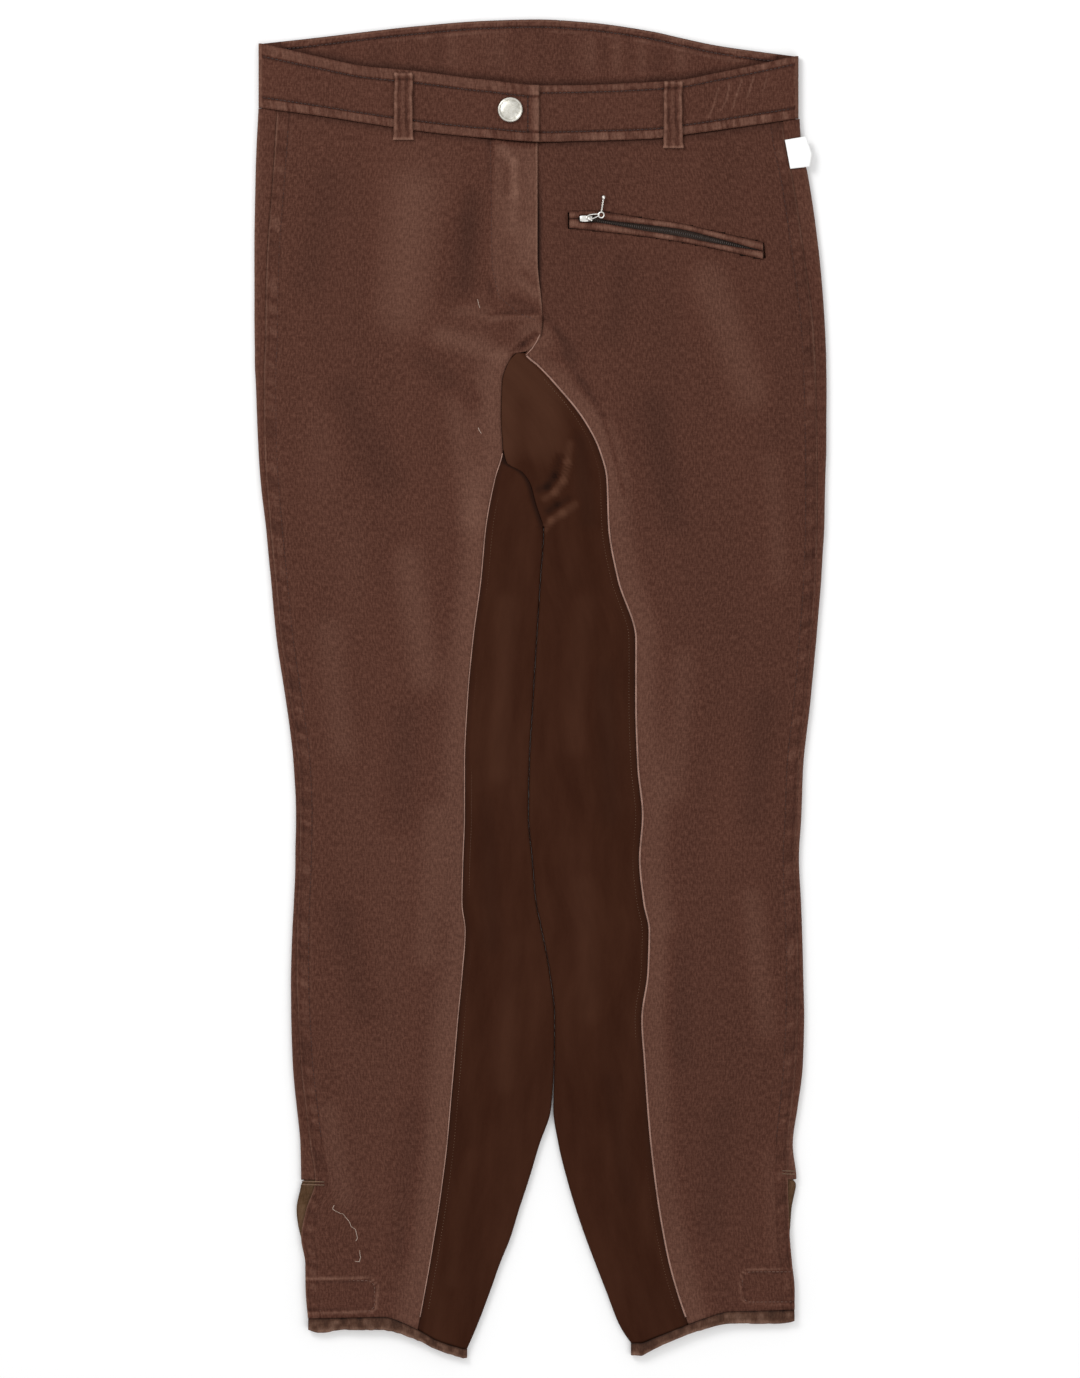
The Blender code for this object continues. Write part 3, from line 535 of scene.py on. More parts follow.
def front_relief(leg, x, y):
    """Creases, seam dips and the pull of the sewing on a front panel."""
    side = abs(x - leg.side(y))
    inner = abs(x - leg.front(y))
    waist = front_seam(x) - y
    seed = 3 if leg is RIGHT else 8
    height = crease_height(x, y, FRONT_CREASES)
    height = height + 0.22 * uneven(x, y, 46, seed) + 0.1 * uneven(x, y, 17, seed + 1)
    height = height + seam_dip(side) + seam_dip(waist, 0.3, 3)
    height = height + pull_of_stitches(side, y + 0.5 * side, 0.5, TOPSTITCH, 3.1, seed + 2)
    height = height - 0.16 * near(side, TOPSTITCH, 0, 1.4)
    inside = patch_edge(leg, x, y)
    height = height + 0.25 * ramp(inside, -1.5, 1.0) - 0.3 * (1 - ramp(abs(inside), 0, 1.3))
    below_fly = 1 - ramp(y, FLY_FOOT - 6, FLY_FOOT)
    height = height + seam_dip(inner) * below_fly
    if leg is LEFT:
        height = height + 0.35 * near(inner, 8.5, 0, 5) * ramp(y, 100, 150) * below_fly
        inside = (x > 18) & (x < 160)
        high, low = pocket_line["top"](x), pocket_line["bottom"](x)
        off = np.where(y > (high + low) / 2, y - high, low - y)
        height = height + np.where(inside, seam_dip(np.maximum(off, 0), 0.35, 2.5), 0)
    else:
        hidden = ramp(y, CROTCH + 10, CROTCH + 40) * (1 - ramp(y, 235, 245))
        height = height + 0.5 * near(inner, 4, 0, 6) * hidden
    return height


def front_tone(leg, x, y):
    """Tone of a front panel: worn places, painted highlights and painted shade at its seams, puckers, creases
    and fly, and its middle.
    """
    side = abs(x - leg.side(y))
    inner = abs(x - leg.front(y))
    seed = 3 if leg is RIGHT else 8
    wear_and_painted_light = 0.7 + 0.5 * uneven(y, x * 0.1, 14, seed + 6)
    # Pale side-seam edge, partly worn and partly a painted highlight; painted shade in the groove beside it.
    tone = 0.75 * wear_and_painted_light * (1 - ramp(side, 0.3, 1.3)) - 0.22 * near(side, 2.4, 0, 1.2)
    # Puckers: pale tops, partly worn and partly painted highlight, with painted shade between them.
    tone = tone + 0.9 * pull_of_stitches(side, y + 0.5 * side, 0.5, TOPSTITCH, 3.1, seed + 2)
    # Painted shade in the groove of the topstitching, and a pale line beyond it, partly worn and partly
    # painted highlight.
    tone = tone - 0.25 * near(side, 8.6, 0, 0.9) + 0.1 * wear_and_painted_light * near(side, 10.2, 0, 1.0)
    # Painted highlight on crease ridges and painted shade in their troughs.
    tone = tone + 0.42 * crease_height(x, y, FRONT_CREASES)
    below = 1 - ramp(y, FLY_FOOT - 6, FLY_FOOT)
    inside = patch_edge(leg, x, y)
    # Patch outline pale, partly worn and partly painted highlight; painted shade in the groove just inside
    # it.
    outline = near(inside, -1.2, 0.2, 1.5) * (0.75 + 0.4 * uneven(x, y, 2.4, seed + 7))
    tone = tone + 0.6 * outline - 0.3 * near(inside, 0.4, 0.2, 1.2)
    # Painted sheen beside the inner seam below the fly.
    tone = tone + 0.22 * (1 - ramp(inner, 6, 26)) * below
    tone = tone + 0.06 * ramp(abs(x - leg.side(y)), 14, 40) * uneven(x, y * 0.25, 22, seed + 4)
    # Painted shadow below the waist seam, under the band.
    tone = tone - 0.35 * (1 - ramp(front_seam(x) - y, 0.5, 6))
    if leg is RIGHT:
        on_fly = ramp(y, FLY_FOOT + 6, FLY_FOOT + 26)
        past_line = x - FLY_LINE
        tone = tone + 0.8 * (1 - ramp(inner, 0.3, 1.6)) * ramp(y, FLY_FOOT, FLY_FOOT + 10)
        # Painted shade along the edge of the fly facing, slightly paler on the facing.
        tone = tone + on_fly * (0.16 * ramp(past_line, 0, 2) - 0.35 * (1 - ramp(abs(past_line), 0, 1.5)))
        paleness = 0.6 + 0.6 * uneven(y, x * 0.2, 12, 18)
        tone = tone + on_fly * 0.2 * near(inner, 4, 1, 7) * paleness
    else:
        # Painted shadow on the underlap beside the edge of the fly.
        shadow = ramp(y, FLY_FOOT, FLY_FOOT + 8) * (1 - ramp(y, 330, 380))
        tone = tone - 0.05 - 0.8 * shadow * (1 - ramp(x + 2, 0.5, 4))
    return np.clip(tone, -1, 1)


def front_point(leg, share, row, rise=0):
    """Points of a front panel, from the side seam (share 0) to the front edge (1)."""

    def across(y):
        return mix(leg.side(y) + leg.inward * HALF_GAP, leg.front(y) - leg.inward * HALF_GAP, share)

    x, y = settle(row, across, front_seam, leg.hem_seam)
    return x, y, top_height(x, y) + rise * fly_share(x, y) + front_relief(leg, x, y)


def spaced(length, fine=FINE, coarse=COARSE, near=14):
    """Shares along a length, close together near both ends."""
    place, places = 0.0, [0.0]
    while place < length:
        end = min(place, length - place)
        place += mix(fine, coarse, float(ramp(end, near * 0.6, near * 1.6)))
        places.append(place)
    return np.array(places) / places[-1]


def panel_rows(low, high):
    """Heights of a panel's rows, about ROW_STEP apart."""
    return np.linspace(low, high, round((high - low) / ROW_STEP) + 1)


def side_wander(leg, y):
    """A slow waver of the outline, as limp cloth has."""
    return 0.25 * uneven(y, 0 * y, 19, 5 if leg is RIGHT else 6)


def cloth_mesh(name, x, y, z, keep, wall, finish, tone=0.0):
    """A cloth piece from arrays of points in rows and columns, made a wall, in place of its solid.

    Its tone attribute is above 0 for worn places and painted highlights, and below 0 for painted shade.
    """
    rows, columns = x.shape
    points = np.stack([x, y, z], axis=-1).reshape(-1, 3) * MM
    corner = np.arange(rows * columns).reshape(rows, columns)
    quads = np.stack([corner[:-1, :-1], corner[:-1, 1:], corner[1:, 1:], corner[1:, :-1]], axis=-1)
    quads = quads[keep] if keep is not None else quads.reshape(-1, 4)
    steps = np.hypot(*(np.diff(place, axis=1, prepend=place[:, :1]) for place in (x, z)))
    flat_u = np.cumsum(steps, axis=1)
    flat_uv = np.stack([flat_u, y], axis=-1).reshape(-1, 2) / 1000
    mesh = bpy.data.meshes.new(name)
    mesh.from_pydata(points.tolist(), [], quads.tolist())
    layer = mesh.uv_layers.new(name="cut")
    loops = np.array([loop.vertex_index for loop in mesh.loops])
    layer.data.foreach_set("uv", flat_uv[loops].ravel())
    # The tone attribute carries worn places, painted highlights and painted shade.
    worn = mesh.attributes.new("tone", "FLOAT", "POINT")
    worn.data.foreach_set("value", np.broadcast_to(tone, x.shape).ravel())
    node = bpy.data.objects.new(name + "_cloth", mesh)
    bpy.context.scene.collection.objects.link(node)
    tidy = bmesh.new()
    tidy.from_mesh(mesh)
    bmesh.ops.delete(tidy, geom=[v for v in tidy.verts if not v.link_faces], context="VERTS")
    tidy.to_mesh(mesh)
    tidy.free()
    mesh.materials.append(finish)
    thicken = node.modifiers.new("Wall", "SOLIDIFY")
    thicken.thickness = wall * MM
    thicken.offset = 0
    round_edges(node)
    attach(node, "garment")
    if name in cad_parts:
        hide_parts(name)
    return node


def round_edges(node):
    """Smooth shading on every face."""
    for polygon in node.data.polygons:
        polygon.use_smooth = True


def front_panel(leg, finish):
    """A front panel, waist to hem. The left one goes on under the fly as its underlap."""
    shares_across = spaced(140)
    rows = panel_rows(HEM_ROW, WAIST_ROW)[:, None]
    share = shares_across[None, :]
    rise = FLY_RISE if leg is RIGHT else 0
    x, y, z = front_point(leg, share + 0 * rows, rows + 0 * share, rise)
    keep = np.ones((len(rows) - 1, len(shares_across) - 1), bool)
    if leg is LEFT:
        steps = np.linspace(0, 1, 9)[None, 1:]
        edge, height = x[:, -1:], y[:, -1:]
        under_x = mix(edge, UNDERLAP_END, steps)
        under_y = height + (front_seam(under_x) - front_seam(edge)) * ramp(rows, 260, WAIST_ROW)
        x, y = np.hstack([x, under_x]), np.hstack([y, under_y])
        z = np.hstack([z, top_height(under_x, under_y)])
        extra = np.repeat(rows[:-1] >= FLY_FOOT, 8, axis=1)
        keep = np.hstack([keep, extra])
        middle_x, middle_y = (x[:-1, :-1] + x[1:, 1:]) / 2, (y[:-1, :-1] + y[1:, 1:]) / 2
        in_box = (middle_x > POCKET_BOX[0]) & (middle_x < POCKET_BOX[1])
        in_box &= (middle_y < pocket_line["top"](middle_x)) & (middle_y > pocket_line["bottom"](middle_x))
        keep &= ~in_box
    return cloth_mesh(f"front_{leg.name}", x, y, z, keep, CLOTH, finish, front_tone(leg, x, y))


def back_panel(leg, finish):
    """A back panel: the strip beside the side seam, the outer fold, the under layer."""
    rows = panel_rows(HEM_ROW, WAIST_ROW)[:, None]
    parts = []
    turns = [("strip", s) for s in shares(8)[:-1]] + [("fold", s) for s in shares(FOLD_STEPS)]
    turns += [("under", s) for s in spaced(110, 2, 4)[1:]]
    seed = 21 if leg is RIGHT else 27
    for kind, share in turns:
        turn = {"strip": 0, "fold": share, "under": 1}[kind]

        def across(y):
            edge = leg.outer(y)
            start = fold_point(edge, leg.inward, top_height(edge, y), CLOTH, 0)[0]
            if kind == "strip":
                return mix(leg.side(y) - leg.inward * HALF_GAP, start, share)
            if kind == "fold":
                return start
            return mix(start, leg.back(y) - leg.inward * HALF_GAP, share)

        def waist(x):
            return mix(front_seam(x), back_seam(x), turn)

        x, y = settle(rows, across, waist, leg.hem_seam)
        edge = leg.outer(y)
        height = top_height(edge, y)
        if kind == "strip":
            z = mix(top_height(x, y), height, share) + seam_dip(abs(x - leg.side(y)), 0.35, 1.6) * (1 - share)
            x = x + side_wander(leg, y) * share
        elif kind == "fold":
            x, z = fold_point(edge, leg.inward, height, CLOTH, share)
            x = x + side_wander(leg, y) * (1 - share)
        else:
            soft = ramp(abs(x - leg.outer(y)), 8, 30) * ramp(abs(x - leg.back(y)), 2, 14)
            z = CLOTH / 2 + 0.22 * np.maximum(uneven(x, y, 31, seed), 0) * soft
            z = z - seam_dip(abs(x - leg.back(y)), 0.25, 3)
        parts.append((x, y, z))
    x, y, z = (np.hstack([part[i] for part in parts]) for i in range(3))
    kinds = [kind for kind, _ in turns]
    under = np.array([kind == "under" for kind in kinds[1:]])
    keep = under[None, :] | (rows[:-1] >= VENT_TOP)
    # Painted shade in the groove of the back seam; pale worn outer fold.
    tone = 0.15 * uneven(x, y * 0.35, 30, seed) - 0.3 * (1 - ramp(abs(x - leg.back(y)), 0.3, 1.6))
    tone = tone + 0.25 * (1 - ramp(abs(x - leg.outer(y)), 0, 3))
    return cloth_mesh(f"back_{leg.name}", x, y, z, keep, CLOTH, finish, tone)


def seat_edge(leg, y):
    """Inner end of the suede's upper wing above the crotch."""
    outline = np.where(y < LOBE[0].y, lobe_edge(y), RIGHT.front(y) + HALF_GAP)
    return outline + (HALF_GAP if leg is LEFT else -HALF_GAP)


def seat_panel(leg, finish):
    """The suede: upper wing, inner fold and lower wing."""
    rows = panel_rows(HEM_ROW, SEAT_TOP)[:, None]
    turns = [("upper", s) for s in spaced(52, FINE, 2.4)[:-1]] + [("fold", s) for s in shares(FOLD_STEPS)]
    turns += [("lower", s) for s in spaced(85, 2, 4)[1:]]
    seed = 41 if leg is RIGHT else 47
    above = rows > CROTCH
    parts = []
    for kind, share in turns:
        first = (kind, share) == ("fold", 0)

        def across(y):
            edge = leg.fold(y) - leg.inward * HALF_GAP
            start = fold_point(edge, -leg.inward, top_height(edge, y), CLOTH, 0)[0]
            upper_end = np.where(above, seat_edge(leg, y), start)
            lower_end = np.where(above, edge, start)
            if kind == "upper":
                return mix(leg.front(y) + leg.inward * HALF_GAP, upper_end, share)
            if kind == "fold":
                return np.where(above, upper_end if first else lower_end, start)
            return mix(lower_end, leg.back(y) + leg.inward * HALF_GAP, share)

        x, y = settle(rows, across, front_seam, leg.hem_seam)
        edge = leg.fold(y) - leg.inward * HALF_GAP
        top = top_height(x, y)
        if kind == "upper" or first:
            relief = crease_height(x, y, SUEDE_CREASES) + 0.25 * uneven(x, y, 38, seed)
            relief = relief + seam_dip(abs(x - leg.front(y)), 0.55, 2.4)
            off_fold = abs(x - edge)
            z = top + relief * ramp(off_fold, 2, 9)
        if kind == "fold":
            round_x, round_z = fold_point(edge, -leg.inward, top_height(edge, y), CLOTH, share)
            if first:
                z, x = np.where(above, z, round_z), np.where(above, x, round_x)
            else:
                z = np.where(above, CLOTH / 2, round_z)
                x = np.where(above, x, round_x)
        if kind == "lower":
            soft = ramp(abs(x - edge), 6, 24) * ramp(abs(x - leg.back(y)), 2, 12)
            z = CLOTH / 2 + 0.25 * np.maximum(uneven(x, y, 27, seed + 1), 0) * soft
        parts.append((x, y, z))
    x, y, z = (np.hstack([part[i] for part in parts]) for i in range(3))
    keep = seat_cells(leg, rows, [kind for kind, _ in turns])
    tone = seat_tone(leg, x, y, z, seed)
    return cloth_mesh(f"seat_{leg.name}", x, y, z, keep, CLOTH, finish, tone)


def seat_cells(leg, rows, kinds):
    """Cells that the suede fills: in front up to its top, round the fold up to the crotch."""
    low = rows[:-1, 0]
    keep = np.zeros((len(rows) - 1, len(kinds) - 1), bool)
    for j, kind in enumerate(kinds[:-1]):
        if kind == "upper":
            keep[:, j] = low < SUEDE_TOPS[leg.name]
        elif kind == "fold" and kinds[j + 1] == "fold":
            keep[:, j] = low < CROTCH
        else:
            keep[:, j] = True
    return keep


def seat_tone(leg, x, y, z, seed):
    """The suede's tone: painted highlight and shade on its creases, its nap, and painted shade beside its
    edges.
    """
    # Painted highlight on crease ridges and painted shade in their troughs.
    tone = 0.55 * crease_height(x, y, SUEDE_CREASES) + 0.08 * uneven(x, y * 0.4, 25, seed)
    if leg is RIGHT:
        # Painted shadow on the right leg's suede under the edge of the lobe.
        tone = tone - 0.9 * (1 - ramp(abs(x - seat_edge(leg, y)), 0.5, 4.5)) * ramp(y, 104, 118)
    # Painted shade beside the inner seam on the upper wing.
    tone = tone - 0.35 * (1 - ramp(abs(x - leg.front(y)), 0.5, 5)) * (z > CLOTH)
    if leg is LEFT:
        tone = tone + 0.3 * ramp(y, 150, 175) * (1 - ramp(x, 5, 28))
    return np.clip(tone, -1, 1)


def tab_lift(leg, x):
    """How far the right band is lifted over the left one's underlap."""
    return TAB_RISE * ramp(x, BAND_UNDERLAP_END - 15, BAND_UNDERLAP_END - 2) if leg is RIGHT else 0


def band_relief(leg, x, share, seed):
    """Height and tone of the band: two rows of stitches pull it in, with small puckers outside them. The tone
    has painted shade in the stitch grooves and painted highlight and shade on the puckers.
    """
    height, tone = 0.0, 0.0
    for line, edge in zip(BAND_LINES[leg.name], (0, 1)):
        off, strip = abs(share - edge), abs(line - edge)
        stitched = near(share, line, 0.008, 0.04)
        between = ramp(off, 0, 0.03) * (1 - ramp(off, strip - 0.05, strip))
        pucker = 0.3 * uneven(x + share * 8, share * 3, 1.7, seed + edge)
        pucker = pucker * (0.6 + 0.5 * uneven(x, x * 0.1, 23, seed))
        height = height - 0.45 * stitched + between * (0.15 + pucker)
        # Painted shade in the stitch grooves; painted highlight and shade on the puckers.
        tone = tone - 0.6 * stitched + between * (0.16 + 1.7 * pucker)
    return height + 0.18 * uneven(x, share * 40, 17, seed + 3), tone


def waistband(leg, finish):
    """Half the waistband: front stretch, fold and back stretch."""
    corner = RIGHT_WAIST if leg is RIGHT else LEFT_WAIST
    start = fold_point(corner, leg.inward, WAIST_RISE, BAND, 0)[0]
    first = TAB_END if leg is RIGHT else BAND_UNDERLAP_END
    front = np.linspace(first, start, round(abs(start - first) / 1.1))
    seam = CENTRE_BACK - leg.inward * HALF_GAP
    back = np.linspace(start, seam, round(abs(seam - start) / 1.8))
    row = np.linspace(0, 1, 33)[:, None]
    seed = 61 if leg is RIGHT else 67
    parts, tones = [], []
    for value in front:
        lift = tab_lift(leg, value)
        y = mix(front_seam(value), front_top(value), row)
        off_end = abs(value - first)
        soft = ramp(abs(value - corner), 3, 12)
        relief, tone = band_relief(leg, value, row, seed)
        z = WAIST_RISE + lift + relief * soft + seam_dip(off_end, 0.5, 2) + 0 * row
        if leg is LEFT:
            marks = crease_height(value, y, BAND_CREASES)
            # The band's creases are painted into the colour too: painted highlight on their ridges.
            z, tone = z + 0.3 * marks, tone + 0.8 * marks
        else:
            stitched = near(off_end, TAB_LINE, 0, 1.3) * ramp(row, 0.1, 0.16) * (1 - ramp(row, 0.78, 0.84))
            z = z - 0.45 * stitched
            # Painted shade in the groove of the tab's stitching; paler towards the tab's end.
            tone = tone - 0.4 * stitched + 0.5 * (1 - ramp(off_end, 1, 6.5))
        tones.append(tone + 0.35 * near(value, corner, 0, 4))
        parts.append((value + 0 * row, y, z))
    for share in shares(FOLD_STEPS)[1:]:
        x, z = fold_point(corner, leg.inward, WAIST_RISE, BAND, share)
        low = mix(front_seam(x), back_seam(x), share)
        parts.append((x + 0 * row, mix(low, mix(front_top(x), back_top(x), share), row), z + 0 * row))
        tones.append(0.3)
    for value in back[1:]:
        y = mix(back_seam(value), back_top(value), row)
        parts.append((value + 0 * row, y, BAND / 2 + 0 * row))
        tones.append(-0.25 * ramp(abs(value - seam), 110, 170))
    x, y, z = (np.hstack([part[i] for part in parts]) for i in range(3))
    tone = np.hstack([np.broadcast_to(part, x[:, :1].shape) for part in tones])
    return cloth_mesh(f"waistband_{leg.name}", x, y, z, None, BAND, finish, np.clip(tone, -1, 1))


def waist_facing(finish):
    """The inside of the waistband behind, turned down over its seam, with a stitched upper edge."""
    x = np.linspace(-184, 168, 250)[None, :]
    row = np.linspace(0, 1, 33)[:, None]
    ends = ramp(x, -184, -150) * (1 - ramp(x, 130, 168))
    low = mix(back_top(x) - 9, back_seam(x) - 13, ends)
    high = back_top(x) - 0.6
    y = mix(low, high, row)
    off = high - y
    pucker = 0.25 * uneven(x + off * 0.4, off * 0.3, 1.8, 71) * (1 - ramp(off, 4, 5.5)) * ramp(off, 0, 1)
    line = 1 - ramp(abs(off - 5.2), 0.3, 1.2)
    joint = 1 - ramp(abs(x - CENTRE_BACK), 0.2, 1.0)
    z = BAND + FACING / 2 + 0.1 + pucker - 0.3 * line * (off > 0) + 0.12 * uneven(x, y, 19, 73) + 0.15
    # Painted highlight and shade on the puckers and painted shade in the stitch groove; darker at the
    # centre-back joint.
    tone = 0.12 * (1 - ramp(off, 3, 5)) + 0.9 * pucker - 0.75 * line - 0.3 * joint * (off < 9)
    # Pale top rim; painted shadow along the front band's top edge.
    tone = tone + 0.5 * (1 - ramp(off, 0, 0.9)) - 0.45 * (1 - ramp(y - front_top(x), 0, 7))
    tone = tone + 0.12 * uneven(x, y * 0.3, 9, 75)
    tone = tone + 0.2 * near(off, 8, 0, 1.5) * (0.5 + uneven(x, 0 * x, 12, 77))
    return cloth_mesh("waist_facing", x + 0 * row, y, z, None, FACING, finish, np.clip(tone, -1, 1))


def hem_band(leg, finish):
    """The turned band at the ankle, open at the vent."""
    side = float(front_point(leg, 0, HEM_ROW)[0])
    edge = float(leg.fold(HEM_ROW)) - leg.inward * HALF_GAP
    start = fold_point(edge, -leg.inward, LEG_RISE + (HEM - CLOTH) / 2, HEM, 0)[0]
    inner = float(row_height(HEM_ROW, front_seam(start), leg.hem_seam(start)))
    edge = float(leg.fold(inner)) - leg.inward * HALF_GAP
    start = fold_point(edge, -leg.inward, LEG_RISE + (HEM - CLOTH) / 2, HEM, 0)[0]
    upper = np.linspace(side, start, round(abs(start - side) / 1.2))
    lower = np.linspace(start, side, round(abs(start - side) / 2))
    row = np.linspace(0, 1, 9)[:, None]
    seed = 81 if leg is RIGHT else 87
    parts = []
    for value in upper:
        y = mix(leg.hem_end(value), leg.hem_seam(value), row) + 0.25 * uneven(value, 0, 3, seed) * (1 - row)
        z = top_height(value, HEM_ROW) + (HEM - CLOTH) / 2 + 0.12 * uneven(value, row * 8, 3.5, seed)
        parts.append((value + 0 * row, y, z - 0.4 * (1 - ramp(row, 0, 0.3)) - 0.2 * ramp(row, 0.8, 1)))
    for share in shares(FOLD_STEPS)[1:-1]:
        x, z = fold_point(edge, -leg.inward, LEG_RISE + (HEM - CLOTH) / 2, HEM, share)
        parts.append((x + 0 * row, mix(leg.hem_end(x), leg.hem_seam(x), row), z + 0 * row))
    for value in lower:
        parts.append((value + 0 * row, mix(leg.hem_end(value), leg.hem_seam(value), row), HEM / 2 + 0 * row))
    x, y, z = (np.hstack([part[i] for part in parts]) for i in range(3))
    # Pale along the lower edge; painted shade along the seam at its top.
    tone = 0.4 * uneven(x, row * 6, 4, seed) + 0.5 * (1 - ramp(row, 0.05, 0.4)) - 0.7 * ramp(row, 0.8, 1)
    return cloth_mesh(f"hem_{leg.name}", x, y, z, None, HEM, finish, np.clip(tone, -1, 1))


def vent_underlap(leg, finish):
    """The strip that shows in the open side seam at the ankle, tucked in under the bar tack."""
    rows = panel_rows(-438, VENT_TOP + 3)[:, None]
    column = np.linspace(0, 1, 9)[None, :]
    tuck = mix(HALF_GAP, 1.5, ramp(-rows, 380, 400)) + 2.4 * ramp(rows, VENT_TOP - 1.5, VENT_TOP)
    edge = leg.outer(rows) + leg.inward * tuck
    x = edge + leg.inward * 18 * column
    z = CLOTH + GAP + 0.1 + CLOTH / 2 + 0.3 * (1 - column) * uneven(rows, 0 * rows, 14, 91)
    tone = 0.3 * uneven(x, rows * 0.5, 5, 92)
    name = f"vent_underlap_{leg.name}"
    return cloth_mesh(name, x, rows + 0 * column, z, None, CLOTH, finish, tone)


def belt_loop(loop, finish):
    """A folded strip sewn below the band and to its upper edge, bowed up between, with two grooves."""
    seam = float(front_seam(loop.x))
    below, above = np.linspace(loop.foot, seam - 4, 7), np.linspace(seam + 3, loop.head, 34)
    rows = np.concatenate([below, above])[:, None]
    column = np.linspace(0, 1, 21)[None, :]
    flare = 1 + 0.07 * (1 - ramp(rows - loop.foot, 0, 5)) - 0.05 * ramp(rows, seam, seam + 12)
    x = loop.x + (column - 0.5) * LOOP_WIDTH * flare + 0.35 * uneven(rows, column, 6, 93)
    low = top_height(x, rows) + CLOTH / 2
    surface = mix(low, WAIST_RISE + BAND / 2, ramp(rows, seam - 4, seam + 3))
    bow = LOOP_BOW * np.sin(math.pi * ramp(rows, seam - 4, loop.head))
    bend = 0.06 * uneven(rows, 0 * rows, 9, 95)
    grooves = -0.5 * sum(1 - ramp(abs(column - at - bend), 0.03, 0.14) for at in (0.3, 0.7))
    grooves = grooves * (0.75 + 0.5 * uneven(rows, column * 4, 6, 96))
    top_fold = 0.5 * near(rows, loop.head - 1.2, 0, 1.4) - 0.5 * near(rows, loop.head - 4.6, 0, 1.8)
    edges = 0.4 * near(abs(column - 0.5), 0.42, 0, 0.09)
    edges = edges * (0.8 + 0.4 * uneven(rows, column * 9, 3, 94))
    z = surface + GAP + LOOP / 2 + bow + grooves + top_fold + edges
    # Painted highlight on the raised edges and the crest of the top fold, painted shade in the grooves and in
    # the dip below the fold; pale at the frayed foot.
    tone = 1.5 * edges + 0.95 * grooves + 0.12 + 0.7 * (1 - ramp(rows - loop.foot, 0.5, 2.5)) + 0.9 * top_fold
    return cloth_mesh(loop.name, x, rows + 0 * column, z, None, LOOP, finish, np.clip(tone, -1, 1))


def pocket_welt(name, high, low, finish, seed):
    """One rolled strip of the pocket."""
    x = np.linspace(POCKET[0].x + GAP, POCKET[-1].x - GAP, 116)[None, :]
    row = np.linspace(0, 1, 9)[:, None]
    y = mix(pocket_line[low](x) + HALF_GAP, pocket_line[high](x) - HALF_GAP, row)
    roll = 0.55 * (np.sin(math.pi * row) - 0.5) + 0.15 * uneven(x, row * 3, 5, seed)
    z = top_height(x, y) + WELT / 2 - CLOTH / 2 + roll
    # Painted highlight along the crest of the roll and painted shade towards its edges.
    tone = 0.7 * np.sin(math.pi * row) - 0.35 + 0.3 * uneven(x, row, 7, seed + 1)
    return cloth_mesh(name, x + 0 * row, y, z, None, WELT, finish, tone)


def pocket_tape(finish):
    """The woven tape under the slot."""
    x = np.linspace(POCKET[0].x, POCKET[-1].x, 90)[None, :]
    row = np.linspace(0, 1, 11)[:, None]
    y = mix(pocket_line["bottom"](x) - 1, pocket_line["top"](x) + 1, row)
    z = top_height(x, y) - CLOTH / 2 - GAP - TAPE / 2
    return cloth_mesh("pocket_zip_tape", x + 0 * row, y, z, None, TAPE, finish)


def side_label(finish):
    """A plain folded label caught in the left side seam."""
    corners = np.array(LABEL_CORNERS)
    left = np.array([corners[0], (corners[0] + corners[4]) / 2, corners[4]])
    right = np.array([corners[1], corners[2], corners[3]])
    column = np.linspace(0, 1, 13)[None, :]
    row = np.linspace(0, 2, 17)
    edge_left = np.stack([np.interp(row, [0, 1, 2], left[:, i]) for i in (0, 1)], axis=-1)
    edge_right = np.stack([np.interp(row, [0, 1, 2], right[:, i]) for i in (0, 1)], axis=-1)
    x = mix(edge_left[:, :1], edge_right[:, :1], column)
    y = mix(edge_left[:, 1:], edge_right[:, 1:], column)
    z = WAIST_RISE + CLOTH / 2 + GAP + LABEL / 2 + 0.3 * uneven(x, y, 6, 95)
    return cloth_mesh("side_label", x, y, z, None, LABEL, finish)


# Heights of the outsides, for what is sewn on them


def front_surface(leg, x, y):
    """Outside of a front panel."""
    rise = FLY_RISE * fly_share(x, y) if leg is RIGHT else 0
    return top_height(x, y) + rise + front_relief(leg, x, y) + CLOTH / 2


def suede_surface(leg, x, y):
    """Outside of the suede's upper wing."""
    edge = leg.fold(y)
    relief = crease_height(x, y, SUEDE_CREASES) + seam_dip(abs(x - leg.front(y)), 0.55, 2.4)
    return top_height(x, y) + relief * ramp(abs(x - edge), 2, 9) + CLOTH / 2


def band_surface(leg, x, y):
    """Outside of the front band, which is level up its height."""
    return WAIST_RISE + tab_lift(leg, x) + BAND / 2 - 0.25


def along_line(points, step):
    """Points every step along a line of (x, y) points, with the direction at each."""
    points = np.array(points, float)
    lengths = np.concatenate([[0], np.cumsum(np.hypot(*np.diff(points, axis=0).T))])
    places = np.arange(step / 2, lengths[-1], step)
    x, y = (np.interp(places, lengths, points[:, i]) for i in (0, 1))
    before, after = places - 0.1, places + 0.1
    run = [np.interp(after, lengths, way) - np.interp(before, lengths, way) for way in points.T]
    return x, y, np.arctan2(run[1], run[0])


